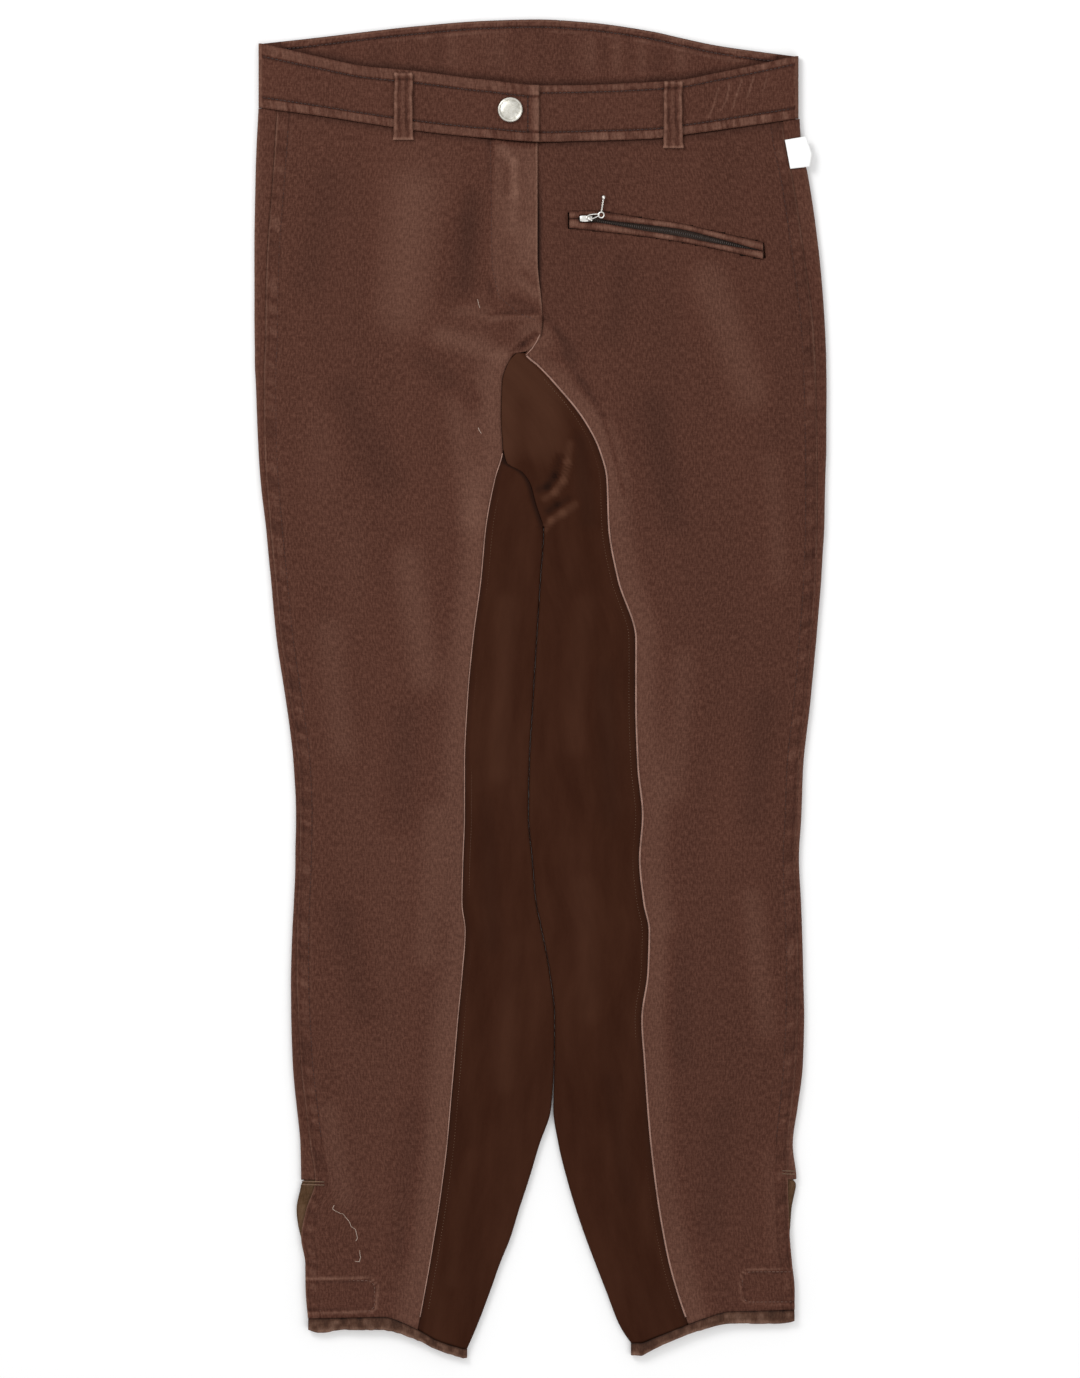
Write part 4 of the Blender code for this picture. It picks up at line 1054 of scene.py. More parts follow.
def stitch_row(name, lines, surface, finish, length=2.1, step=2.9, radius=0.3):
    """A row of stitches, each a short rounded length of thread half sunk in the cloth."""
    vertices, faces = [], []
    ring = 5
    profile = ((-0.5, 0.25), (-0.3, 0.85), (0.3, 0.85), (0.5, 0.25))
    for line in lines:
        for x, y, angle in zip(*along_line(line, step)):
            height = float(surface(x, y))
            first = len(vertices)
            for share, thick in profile:
                for k in range(ring):
                    turn = 2 * math.pi * k / ring
                    off = radius * thick * math.cos(turn)
                    vertices.append(
                        (
                            (x + length * share * math.cos(angle) - off * math.sin(angle)) * MM,
                            (y + length * share * math.sin(angle) + off * math.cos(angle)) * MM,
                            (height + radius * (thick * math.sin(turn) + 0.35)) * MM,
                        )
                    )
            for j in range(len(profile) - 1):
                for k in range(ring):
                    a, b = first + j * ring + k, first + j * ring + (k + 1) % ring
                    faces.append((a, b, b + ring, a + ring))
            last = first + (len(profile) - 1) * ring
            faces.append(tuple(first + k for k in reversed(range(ring))))
            faces.append(tuple(last + k for k in range(ring)))
    return plain_piece(name, vertices, faces, finish)


def plain_piece(name, vertices, faces, finish, body="garment"):
    """A mesh piece riding on a body, with its faces turned outwards."""
    mesh = bpy.data.meshes.new(name)
    mesh.from_pydata(vertices, [], faces)
    node = bpy.data.objects.new(name, mesh)
    bpy.context.scene.collection.objects.link(node)
    shell = bmesh.new()
    shell.from_mesh(mesh)
    bmesh.ops.recalc_face_normals(shell, faces=shell.faces)
    shell.to_mesh(mesh)
    shell.free()
    mesh.materials.append(finish)
    round_edges(node)
    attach(node, body)
    return node


def thread(name, points, radius, finish, body="garment", sides=6, closed=False):
    """A round thread or wire through points given in millimetres."""
    points = np.array(points, float)
    count = len(points)
    ahead = np.roll(points, -1, axis=0) - np.roll(points, 1, axis=0)
    if not closed:
        ahead[0], ahead[-1] = points[1] - points[0], points[-1] - points[-2]
    ahead /= np.linalg.norm(ahead, axis=1)[:, None]
    across = np.cross(ahead, (0, 0, 1))
    across /= np.maximum(np.linalg.norm(across, axis=1), 1e-6)[:, None]
    up = np.cross(across, ahead)
    vertices, faces = [], []
    for point, side, high in zip(points, across, up):
        for k in range(sides):
            turn = 2 * math.pi * k / sides
            vertices.append(tuple((point + radius * (math.cos(turn) * side + math.sin(turn) * high)) * MM))
    for j in range(count if closed else count - 1):
        for k in range(sides):
            a, b = j * sides + k, j * sides + (k + 1) % sides
            c, d = (a + sides) % (count * sides), (b + sides) % (count * sides)
            faces.append((a, b, d, c))
    if not closed:
        faces.append(tuple(reversed(range(sides))))
        faces.append(tuple((count - 1) * sides + k for k in range(sides)))
    return plain_piece(name, vertices, faces, finish, body)


# Finishes


def node_group(name, inputs, outputs):
    """A shader node group with named sockets. Gives the group and its input and output nodes."""
    group = bpy.data.node_groups.new(name, "ShaderNodeTree")
    for socket, kind, value in inputs:
        made = group.interface.new_socket(socket, in_out="INPUT", socket_type=kind)
        if value is not None:
            made.default_value = value
    for socket, kind in outputs:
        group.interface.new_socket(socket, in_out="OUTPUT", socket_type=kind)
    return group, group.nodes.new("NodeGroupInput"), group.nodes.new("NodeGroupOutput")


def connect(tree, *pairs):
    """Link each pair of sockets."""
    for first, second in pairs:
        tree.links.new(first, second)


def math_node(tree, operation, first, second, clamp=False):
    """A Math node whose two inputs are sockets or numbers."""
    node = tree.nodes.new("ShaderNodeMath")
    node.operation = operation
    node.use_clamp = clamp
    for socket, value in zip(node.inputs, (first, second)):
        if isinstance(value, (int, float)):
            socket.default_value = value
        else:
            tree.links.new(value, socket)
    return node.outputs[0]


def times(tree, first, second, clamp=False):
    """One value times another."""
    return math_node(tree, "MULTIPLY", first, second, clamp)


def plus(tree, first, second):
    """One value added to another."""
    return math_node(tree, "ADD", first, second)


def mapped(tree, vector, scale, turn=0.0):
    """Coordinates stretched by a scale and turned about the upright axis."""
    node = tree.nodes.new("ShaderNodeMapping")
    node.inputs["Scale"].default_value = scale
    node.inputs["Rotation"].default_value = (0, 0, turn)
    tree.links.new(vector, node.inputs["Vector"])
    return node.outputs[0]


def noise(tree, vector, scale, detail=2.0, roughness=0.5):
    """Soft noise, from 0 to 1."""
    node = tree.nodes.new("ShaderNodeTexNoise")
    node.inputs["Scale"].default_value = scale
    node.inputs["Detail"].default_value = detail
    node.inputs["Roughness"].default_value = roughness
    tree.links.new(vector, node.inputs["Vector"])
    return node.outputs["Fac"]


def spread(tree, value, low, high, out_low=0.0, out_high=1.0):
    """A value stretched from low..high to out_low..out_high and held there."""
    node = tree.nodes.new("ShaderNodeMapRange")
    for socket, number in zip(("From Min", "From Max", "To Min", "To Max"), (low, high, out_low, out_high)):
        node.inputs[socket].default_value = number
    tree.links.new(value, node.inputs["Value"])
    return node.outputs["Result"]


def weave_group():
    """Heathered twill: short pale flecks along the warp, fine diagonal ribs and crossing threads."""
    group, given, result = node_group(
        "heathered_twill",
        [("Cut", "NodeSocketVector", None)],
        [("Fleck", "NodeSocketFloat"), ("Height", "NodeSocketFloat")],
    )
    cut = given.outputs["Cut"]
    warp = noise(group, mapped(group, cut, (900, 260, 1)), 1.0, 3.0, 0.7)
    weft = noise(group, mapped(group, cut, (260, 900, 1)), 1.0, 3.0, 0.7)
    fine = noise(group, mapped(group, cut, (2600, 2600, 1)), 1.0, 1.0)
    flecks = plus(group, spread(group, warp, 0.35, 0.72), times(group, spread(group, weft, 0.45, 0.75), 0.45))
    flecks = plus(group, times(group, flecks, 0.65), times(group, fine, 0.3))
    rib = group.nodes.new("ShaderNodeTexWave")
    rib.inputs["Scale"].default_value = 1.0
    rib.inputs["Distortion"].default_value = 0.6
    group.links.new(mapped(group, cut, (300, 300, 1), math.radians(62)), rib.inputs["Vector"])
    height = plus(group, times(group, rib.outputs["Fac"], 0.5), flecks)
    connect(group, (flecks, result.inputs["Fleck"]), (height, result.inputs["Height"]))
    return group


def patches_group():
    """Broad cloudy patches of faded and fuller colour, and slow streaks down the cloth."""
    group, given, result = node_group(
        "faded_patches",
        [("Place", "NodeSocketVector", None)],
        [("Faded", "NodeSocketFloat"), ("Streaks", "NodeSocketFloat")],
    )
    place = given.outputs["Place"]
    clouds = noise(group, mapped(group, place, (22, 5, 22)), 1.0, 3.0, 0.55)
    small = noise(group, mapped(group, place, (60, 24, 60)), 1.0, 3.0, 0.6)
    faded = plus(group, spread(group, clouds, 0.25, 0.75, 0, 0.7), spread(group, small, 0.3, 0.7, 0, 0.3))
    streaks = spread(group, noise(group, mapped(group, place, (220, 9, 220)), 1.0, 3.0, 0.6), 0.35, 0.7)
    connect(group, (faded, result.inputs["Faded"]), (streaks, result.inputs["Streaks"]))
    return group


def nap_group():
    """Suede: a short brushed nap with soft marks and fine pores."""
    group, given, result = node_group(
        "brushed_nap",
        [("Cut", "NodeSocketVector", None)],
        [("Nap", "NodeSocketFloat"), ("Marks", "NodeSocketFloat"), ("Height", "NodeSocketFloat")],
    )
    cut = given.outputs["Cut"]
    nap = noise(group, mapped(group, cut, (900, 260, 1)), 1.0, 3.0, 0.65)
    marks = noise(group, mapped(group, cut, (70, 16, 1)), 1.0, 4.0, 0.6)
    fine = noise(group, mapped(group, cut, (3000, 3000, 1)), 1.0, 1.0)
    height = plus(group, nap, times(group, fine, 0.5))
    connect(
        group,
        (nap, result.inputs["Nap"]),
        (spread(group, marks, 0.3, 0.72), result.inputs["Marks"]),
        (height, result.inputs["Height"]),
    )
    return group


def placed(tree, group):
    """A shared node group put into a finish."""
    node = tree.nodes.new("ShaderNodeGroup")
    node.node_tree = group
    return node


def blended(tree, first, second, factor):
    """One colour mixed into another by a factor. Each is a colour or a socket."""
    node = tree.nodes.new("ShaderNodeMix")
    node.data_type = "RGBA"
    for index, value in ((6, first), (7, second)):
        if isinstance(value, tuple):
            node.inputs[index].default_value = (*value, 1)
        else:
            tree.links.new(value, node.inputs[index])
    tree.links.new(factor, node.inputs[0])
    return node.outputs[2]


def new_finish(name, roughness, sheen=0.0, sheen_roughness=0.5, metallic=0.0):
    """A new material with its node tree and its shader."""
    finish = bpy.data.materials.new(name)
    finish.use_nodes = True
    shader = finish.node_tree.nodes["Principled BSDF"]
    shader.inputs["Roughness"].default_value = roughness
    shader.inputs["Sheen Weight"].default_value = sheen
    shader.inputs["Sheen Roughness"].default_value = sheen_roughness
    shader.inputs["Metallic"].default_value = metallic
    return finish, finish.node_tree, shader


def bumped(tree, shader, height, distance, strength=1.0):
    """Fine relief on a finish, its distance in millimetres."""
    bump = tree.nodes.new("ShaderNodeBump")
    bump.inputs["Distance"].default_value = distance * MM
    bump.inputs["Strength"].default_value = strength
    connect(tree, (height, bump.inputs["Height"]), (bump.outputs["Normal"], shader.inputs["Normal"]))


def coordinates(tree):
    """The cut of the cloth from its UV map, and the place on the garment."""
    node = tree.nodes.new("ShaderNodeTexCoord")
    return node.outputs["UV"], node.outputs["Object"]


def wear_and_painted_light(tree):
    """The tone laid down with the mesh: above 0 for worn places and painted highlights, below 0 for painted
    shade.
    """
    node = tree.nodes.new("ShaderNodeAttribute")
    node.attribute_name = "tone"
    return node.outputs["Fac"]


# Colours of the cloth and suede: as dyed, faded, pale flecks, worn places and painted highlights, and painted
# shade in deep seams and creases
Shades = namedtuple("Shades", "full faded fleck worn deep")
BROWN = Shades(
    full=(0.047, 0.0153, 0.0092),
    faded=(0.062, 0.0213, 0.0131),
    fleck=(0.13, 0.053, 0.0345),
    worn=(0.22, 0.112, 0.078),
    deep=(0.012, 0.0036, 0.0022),
)
BINDING = Shades(
    full=(0.044, 0.0185, 0.0115),
    faded=(0.063, 0.027, 0.0165),
    fleck=(0.115, 0.056, 0.035),
    worn=(0.21, 0.12, 0.085),
    deep=(0.01, 0.004, 0.0024),
)
OLIVE = Shades(
    full=(0.054, 0.026, 0.0108),
    faded=(0.076, 0.038, 0.0175),
    fleck=(0.12, 0.064, 0.034),
    worn=(0.19, 0.11, 0.064),
    deep=(0.02, 0.01, 0.004),
)
TAPE_BROWN = Shades(
    full=(0.022, 0.014, 0.011),
    faded=(0.03, 0.019, 0.015),
    fleck=(0.05, 0.036, 0.03),
    worn=(0.08, 0.06, 0.05),
    deep=(0.008, 0.005, 0.004),
)
SUEDE = Shades(
    full=(0.0262, 0.0074, 0.0033),
    faded=(0.0395, 0.0125, 0.0058),
    fleck=(0.058, 0.0198, 0.01),
    worn=(0.1, 0.042, 0.024),
    deep=(0.014, 0.005, 0.003),
)


def twill_finish(name, weave, patches, shades):
    """Brushed stretch twill, faded in patches, pale where it is worn and where highlights are painted, and
    deep where shade is painted into its seams and creases.
    """
    finish, tree, shader = new_finish(name, 0.9)
    shader.inputs["Specular IOR Level"].default_value = 0.13
    cut, place = coordinates(tree)
    cloth, fading = placed(tree, weave), placed(tree, patches)
    connect(tree, (cut, cloth.inputs["Cut"]), (place, fading.inputs["Place"]))
    tone = wear_and_painted_light(tree)
    colour = blended(tree, shades.full, shades.faded, fading.outputs["Faded"])
    colour = blended(tree, colour, shades.faded, times(tree, fading.outputs["Streaks"], 0.3))
    colour = blended(tree, colour, shades.fleck, spread(tree, cloth.outputs["Fleck"], 0.28, 0.8, 0.0, 0.72))
    # Above 0 the tone lightens to the worn colour for worn places and painted highlights; below 0 it darkens
    # to the deep colour for painted shade.
    paleness = times(tree, tone, plus(tree, cloth.outputs["Fleck"], 0.45), True)
    colour = blended(tree, colour, shades.worn, paleness)
    painted_shade = times(tree, tone, -1.1, True)
    colour = blended(tree, colour, shades.deep, painted_shade)
    connect(tree, (colour, shader.inputs["Base Color"]))
    connect(tree, (spread(tree, cloth.outputs["Fleck"], 0, 1, 0.96, 0.82), shader.inputs["Roughness"]))
    bumped(tree, shader, cloth.outputs["Height"], 0.16, 0.7)
    return finish


def suede_finish(nap):
    """Dark suede with its nap brushed down the leg."""
    finish, tree, shader = new_finish("dark_brushed_suede", 0.95, 0.015, 0.45)
    shader.inputs["Specular IOR Level"].default_value = 0.06
    shader.inputs["Sheen Tint"].default_value = (0.35, 0.16, 0.08, 1)
    cut, _ = coordinates(tree)
    leather = placed(tree, nap)
    connect(tree, (cut, leather.inputs["Cut"]))
    tone = wear_and_painted_light(tree)
    colour = blended(tree, SUEDE.full, SUEDE.faded, leather.outputs["Marks"])
    colour = blended(tree, colour, SUEDE.fleck, times(tree, leather.outputs["Nap"], 0.28))
    # The tone lightens to the worn colour for worn places and painted highlights, and darkens to the deep
    # colour for painted shade.
    colour = blended(tree, colour, SUEDE.worn, times(tree, tone, 0.8, True))
    colour = blended(tree, colour, SUEDE.deep, times(tree, tone, -1, True))
    connect(tree, (colour, shader.inputs["Base Color"]))
    connect(tree, (spread(tree, leather.outputs["Marks"], 0, 1, 0.98, 0.84), shader.inputs["Roughness"]))
    bumped(tree, shader, leather.outputs["Height"], 0.1, 0.6)
    return finish


def thread_finish(name, dark, pale):
    """Sewing thread: fine twisted fibres, uneven in colour from stitch to stitch."""
    finish, tree, shader = new_finish(name, 0.7, 0.2, 0.4)
    _, place = coordinates(tree)
    fibres = noise(tree, place, 900.0, 2.0)
    lengths = noise(tree, place, 120.0, 1.0)
    colour = blended(tree, dark, pale, spread(tree, plus(tree, fibres, lengths), 0.7, 1.3))
    connect(tree, (colour, shader.inputs["Base Color"]))
    connect(tree, (spread(tree, fibres, 0.3, 0.7, 0.6, 0.85), shader.inputs["Roughness"]))
    bumped(tree, shader, fibres, 0.08)
    return finish


def metal_finish(name, bright, dull, roughness):
    """Plated metal, lightly scratched, dulled in soft patches."""
    finish, tree, shader = new_finish(name, roughness, metallic=1.0)
    _, place = coordinates(tree)
    patches = noise(tree, place, 420.0, 4.0, 0.65)
    scratches = noise(tree, mapped(tree, place, (500, 4200, 500), 0.6), 1.0, 2.0)
    colour = blended(tree, bright, dull, spread(tree, patches, 0.4, 0.75))
    connect(tree, (colour, shader.inputs["Base Color"]))
    gloss = spread(tree, patches, 0.3, 0.7, roughness - 0.08, roughness + 0.14)
    gloss = plus(tree, gloss, spread(tree, scratches, 0.4, 0.7, 0, 0.1))
    connect(tree, (gloss, shader.inputs["Roughness"]))
    bumped(tree, shader, plus(tree, scratches, times(tree, patches, 2.0)), 0.03, 0.6)
    return finish


def label_finish():
    """White woven label cloth, lightly creased."""
    finish, tree, shader = new_finish("white_woven_label", 0.7, 0.1)
    cut, _ = coordinates(tree)
    threads = noise(tree, mapped(tree, cut, (900, 3200, 1)), 1.0, 2.0)
    colour = blended(tree, (0.88, 0.88, 0.87), (0.97, 0.97, 0.96), threads)
    connect(tree, (colour, shader.inputs["Base Color"]))
    bumped(tree, shader, threads, 0.06, 0.5)
    return finish


# Fastenings


def take_object():
    """The object that an operator just made."""
    return bpy.context.view_layer.objects.active


def clear_selection():
    """Leave nothing selected."""
    for node in list(bpy.context.selected_objects):
        node.select_set(False)


def settle_piece(node, name, finish, body):
    """Put the piece's place into its mesh, name it, give it its finish and let it ride."""
    clear_selection()
    node.select_set(True)
    bpy.context.view_layer.objects.active = node
    for modifier in list(node.modifiers):
        bpy.ops.object.modifier_apply(modifier=modifier.name)
    bpy.ops.object.transform_apply(location=True, rotation=True, scale=True)
    node.name = node.data.name = name
    node.data.materials.clear()
    node.data.materials.append(finish)
    bpy.ops.object.shade_smooth_by_angle(angle=math.radians(40))
    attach(node, body)
    clear_selection()
    return node


# The button's outline from the middle of its cap to its foot: shares of the radius,
# with heights below the top and then above the foot
CAP_DEPTHS = [
    (0, 0.25), (0.25, 0.28), (0.5, 0.42), (0.7, 0.72), (0.76, 0.98), (0.8, 0.75),
    (0.85, 0.4), (0.9, 0.3), (0.95, 0.45), (0.99, 0.9), (1.0, 1.3),
]
FOOT_HEIGHTS = [(0.97, 0.6), (0.9, 0.3), (0.6, 0.05), (0, 0.0)]
BUTTON_TURNS = 72
DENTS_ABOVE, DENT = 1.2, 0.07
STEM_WIRE = 0.36
STEM_TWISTS = 3.0


def button(finish):
    """A domed cap with a rolled rim, worn and very slightly dented, spun round its axis."""
    radius = BUTTON_DIAMETER / 2
    foot = WAIST_RISE + TAB_RISE + BAND / 2 + GAP
    profile = [(x, BUTTON_HEIGHT - depth) for x, depth in CAP_DEPTHS] + FOOT_HEIGHTS
    mesh = bpy.data.meshes.new("button_cap")
    points = [(x * radius * MM, 0, z * MM) for x, z in profile]
    mesh.from_pydata(points, [(i, i + 1) for i in range(len(points) - 1)], [])
    node = bpy.data.objects.new("button_cap", mesh)
    bpy.context.scene.collection.objects.link(node)
    node.location = (BUTTON_AT[0] * MM, BUTTON_AT[1] * MM, foot * MM)
    turn = node.modifiers.new("Turn", "SCREW")
    turn.steps = turn.render_steps = BUTTON_TURNS
    turn.use_merge_vertices = True
    turn.merge_threshold = 0.00001
    turn.use_normal_calculate = True
    settle_piece(node, "button_cap", finish, "garment")
    for vertex in node.data.vertices:
        x, y = vertex.co.x / MM, vertex.co.y / MM
        if vertex.co.z / MM > foot + DENTS_ABOVE:
            vertex.co.z += DENT * float(uneven(np.array(x), np.array(y), 3.1, 97)) * MM
    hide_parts("button")
    return node


def bar_height():
    """Height of the pull's bar in the slider's crown."""
    return float(top_height(*SLIDER_AT)) - CLOTH / 2 + SLIDER_SIZE[2] + BAR_RADIUS + 2 * GAP


def zip_slider(finish):
    """The slider's body with its flanges and throat, and the crown over the pull's bar."""
    foot = float(top_height(*SLIDER_AT)) - CLOTH / 2
    length, width, height = SLIDER_SIZE
    clear_selection()
    middle = (SLIDER_AT[0] * MM, SLIDER_AT[1] * MM, (foot + height / 2) * MM)
    bpy.ops.mesh.primitive_cube_add(size=1, location=middle)
    body = take_object()
    bpy.ops.object.mode_set(mode="EDIT")
    bpy.ops.mesh.subdivide(number_cuts=3)
    bpy.ops.object.mode_set(mode="OBJECT")
    for vertex in body.data.vertices:
        x, y, z = vertex.co
        narrow = 0.8 if x > 0.2 else 1.0
        if abs(z) < 0.2 and abs(y) > 0.4:
            narrow *= 0.78
        if x < -0.4:
            narrow *= 0.86
        dome = 0.06 * (1 - (2 * y) ** 2) if z > 0.4 else 0
        vertex.co = (x * length * MM, y * width * narrow * MM, (z * 0.94 + dome) * height * MM)
    rounding = body.modifiers.new("Edges", "BEVEL")
    rounding.width = 0.3 * MM
    rounding.segments = 2
    settle_piece(body, "zip_slider_body", finish, "garment")
    x, y = CROWN_AT
    axis = bar_height()
    inner = BAR_RADIUS + GAP
    wall, reach = CROWN_RADIUS - inner, (CROWN_RADIUS + inner) / 2
    turns = [math.pi * i / 10 for i in range(11)]
    arch = [(x, y - math.cos(turn) * reach, axis + math.sin(turn) * reach) for turn in turns]
    arch = [(x, y - reach, axis - CROWN_LEG), *arch, (x, y + reach, axis - CROWN_LEG)]
    crown = thread("zip_slider_crown", arch, wall / 2, finish, "garment", 10)
    for vertex in crown.data.vertices:
        vertex.co.x = x * MM + (vertex.co.x - x * MM) * CROWN_WIDTH / wall
    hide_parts("zip_slider")
    return body


def zip_pull(finish):
    """The pull: a wire bail through the crown, a ring, and a twisted stem with a rounded end."""
    axis = bar_height()
    ring_x, ring_y = RING_AT
    ring_height = float(top_height(*RING_AT)) + WELT - CLOTH / 2 + GAP + RING_WIRE
    end_height = float(top_height(*PULL_END_AT)) + CLOTH / 2 + GAP + PULL_END_RADIUS
    half_bar = CROWN_WIDTH / 2 + GAP + PULL_WIRE
    x, y = CROWN_AT
    middle = (axis + ring_height) / 2
    corners = [
        (x - half_bar, y, axis), (x - half_bar + 0.2, y + 1.6, axis), (x + 0.8, y + 3.0, middle),
        (ring_x - RING_RADIUS, ring_y + 0.6, ring_height), (ring_x - RING_RADIUS, ring_y - 0.6, ring_height),
        (x + half_bar + 2.4, y + 1.0, middle), (x + half_bar, y, axis),
    ]
    bail = rounded_loop(corners, 6)
    thread("zip_pull_bail", bail, PULL_WIRE, finish, "pull", 8, closed=True)
    ring = [
        (ring_x + RING_RADIUS * math.cos(a), ring_y + RING_RADIUS * math.sin(a), ring_height)
        for a in (2 * math.pi * i / 28 for i in range(28))
    ]
    hoop = thread("zip_pull_ring", ring, RING_WIRE, finish, "pull", 8, closed=True)
    start = np.array((ring_x + 0.1, ring_y + RING_RADIUS, ring_height))
    end = np.array((*PULL_END_AT, end_height))
    for strand in (0, 1):
        path = []
        for share in shares(40):
            turn = 2 * math.pi * (STEM_TWISTS * share + strand / 2)
            path.append(mix(start, end, share) + STEM_WIRE * np.array((math.cos(turn), 0, math.sin(turn))))
        thread(f"zip_pull_stem_{strand + 1}", path, STEM_WIRE, finish, "pull", 6)
    clear_selection()
    bpy.ops.mesh.primitive_uv_sphere_add(
        segments=20, ring_count=12, radius=PULL_END_RADIUS * MM, location=tuple(end * MM)
    )
    bulb = take_object()
    for vertex in bulb.data.vertices:
        reach = vertex.co.y / (PULL_END_RADIUS * MM)
        vertex.co.x *= 0.82 + 0.18 * reach
        vertex.co.z *= 0.9
    settle_piece(bulb, "zip_pull_end", finish, "pull")
    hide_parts("zip_pull")


def rounded_loop(corners, steps):
    """A smooth closed line through the corners."""
    corners = np.array(corners, float)
    count = len(corners)
    line = []
    for i in range(count):
        a, b, c, d = (corners[(i + k) % count] for k in (-1, 0, 1, 2))
        bend, twist = 2 * a - 5 * b + 4 * c - d, 3 * b - a - 3 * c + d
        for t in shares(steps)[:-1]:
            line.append(0.5 * (2 * b + (c - a) * t + bend * t * t + twist * t**3))
    return line


# Sewing


def band_line(share, first, last):
    """A line along the front band at a share of its height."""
    xs = np.arange(min(first, last), max(first, last), 3.0)
    return [(x, mix(front_seam(x), front_top(x), share)) for x in xs]


def seam_line(column, off, low, high):
    """A line up the garment beside one of a leg's seams."""
    return [(float(column(y)) + off, y) for y in np.arange(low, high, 5.0)]


def patch_line(outer, inner, high, low, radius):
    """The outline of a sewn patch that starts at an edge, with its two inner corners rounded."""
    way = 1 if inner > outer else -1
    line = [(outer, high)]
    for k in range(7):
        turn = math.pi / 2 * k / 6
        line.append((inner - way * radius * (1 - math.sin(turn)), high - radius * (1 - math.cos(turn))))
    for k in range(7):
        turn = math.pi / 2 * k / 6
        line.append((inner - way * radius * (1 - math.cos(turn)), low + radius * (1 - math.sin(turn))))
    return line + [(outer, low)]


# Rows of stitches, as points or as ends and heights
FLY_STITCHES = [(-35.4, 388), (-35.2, 370), (-34.8, 331), (-34.2, 299), (-29.5, 278), (-15, 266), (-2, 260.8)]
BAND_ENDS = {"right": (-197, TAB_END - TAB_LINE), "left": (1, 180)}
SIDE_FOOT, SIDE_TOP = -318, 398
INSIDE_LINE = 5.7
SUEDE_HOLES = 5.0
SUEDE_STITCH_TOPS = {"right": 150, "left": 225}
PATCH_STITCHES = {"right": (-165.5, -117.5, -419.3, -440.9), "left": (178.2, 143.0, -413.2, -434.5)}

BarTack = namedtuple("BarTack", "leg start end slope rows")
BAR_TACKS = (
    BarTack("right", -168.8, -154.2, -0.4, (-349.0, -351.2)),
    BarTack("left", 171.5, 179.4, -0.3, (-341.5, -343.6)),
)

Piping = namedtuple("Piping", "leg top radius")
INNER_PIPING = (Piping(RIGHT, 168, 0.38), Piping(LEFT, 237, 0.62))
CENTRE_PIPING = [(-0.4, 251.3), (-2.6, 246.6), (-5.8, 241.4), (-10.4, 236.4)]

FIRST_TOOTH, LAST_TOOTH, TOOTH_STEP = 39.0, 156.0, 1.45
STRAYS = {
    "stray_thread_upper": [
        (-146, -366), (-147.4, -369), (-143.4, -371), (-140, -372), (-136, -377),
        (-134, -381), (-131, -383), (-129.6, -389), (-131, -391),
    ],
    "stray_thread_lower": [(-128, -398), (-127.5, -403), (-128.4, -406), (-131.5, -405.4)],
    "lint_upper": [(-44.4, 276), (-43, 270)],
    "lint_middle": [(-44, 185), (-42, 181)],
}


def band_sewing(finish):
    """Two rows along each half of the band, one across the tab and one inside behind."""
    tab = TAB_END - TAB_LINE
    tab_line = [(tab, mix(front_seam(tab), front_top(tab), share)) for share in BAND_LINES["right"]]
    for leg, across in ((RIGHT, [tab_line]), (LEFT, [])):
        lines = [band_line(share, *BAND_ENDS[leg.name]) for share in BAND_LINES[leg.name]]
        stitch_row(
            f"stitches_band_{leg.name}",
            lines + across,
            lambda x, y, leg=leg: band_surface(leg, x, y),
            finish,
        )
    inside = [(x, float(back_top(x)) - INSIDE_LINE) for x in np.arange(-188, 176, 3.0)]
    stitch_row("stitches_band_inside", [inside], lambda x, y: BAND + FACING + 0.05, finish)


def leg_sewing(dark, tan):
    """The topstitching beside each side seam, and the fine holes beside the suede's seam."""
    for leg in (RIGHT, LEFT):
        stitch_row(
            f"stitches_side_{leg.name}",
            [seam_line(leg.side, leg.inward * TOPSTITCH, SIDE_FOOT, SIDE_TOP)],
            lambda x, y, leg=leg: front_surface(leg, x, y) - 0.1,
            dark,
            radius=0.22,
        )
        stitch_row(
            f"stitches_inner_{leg.name}",
            [seam_line(leg.front, leg.inward * SUEDE_HOLES, -440, SUEDE_STITCH_TOPS[leg.name])],
            lambda x, y, leg=leg: suede_surface(leg, x, y) - 0.1,
            tan,
            length=0.6,
            step=2.1,
            radius=0.2,
        )


def fly_and_patch_sewing(dark, pale):
    """The curved row that holds the fly, and the outline of the patch at each ankle."""
    stitch_row(
        "stitches_fly",
        [FLY_STITCHES],
        lambda x, y: front_surface(RIGHT, x, y) - 0.12,
        dark,
        radius=0.2,
    )
    for leg in (RIGHT, LEFT):
        stitch_row(
            f"stitches_patch_{leg.name}",
            [patch_line(*PATCH_STITCHES[leg.name], PATCH_ROUND)],
            lambda x, y, leg=leg: front_surface(leg, x, y) - 0.1,
            pale,
            radius=0.24,
        )


def bar_tacks(finish):
    """Two short thick rows across the top of each vent."""
    height = LEG_RISE + CLOTH / 2 + 0.35
    for tack in BAR_TACKS:
        lines = [[(tack.start, y), (tack.end, y + tack.slope)] for y in tack.rows]
        stitch_row(f"bar_tack_{tack.leg}", lines, lambda x, y: height, finish, 3.0, 2.2, 0.45)


def piping(finish):
    """The pale cord in the suede's inner seams and below the fly."""
    for leg, top, radius in INNER_PIPING:
        ys = np.arange(-445, top, 3.0)
        xs = leg.front(ys)
        heights = top_height(xs, ys) + CLOTH / 2 - 0.15
        line = np.stack([xs, ys, heights], axis=-1)
        thread(f"piping_inner_{leg.name}", line, radius, finish)
    line = [(x, y, float(front_surface(LEFT, x, y)) - 0.1) for x, y in CENTRE_PIPING]
    thread("piping_centre_front", line, 0.4, finish)


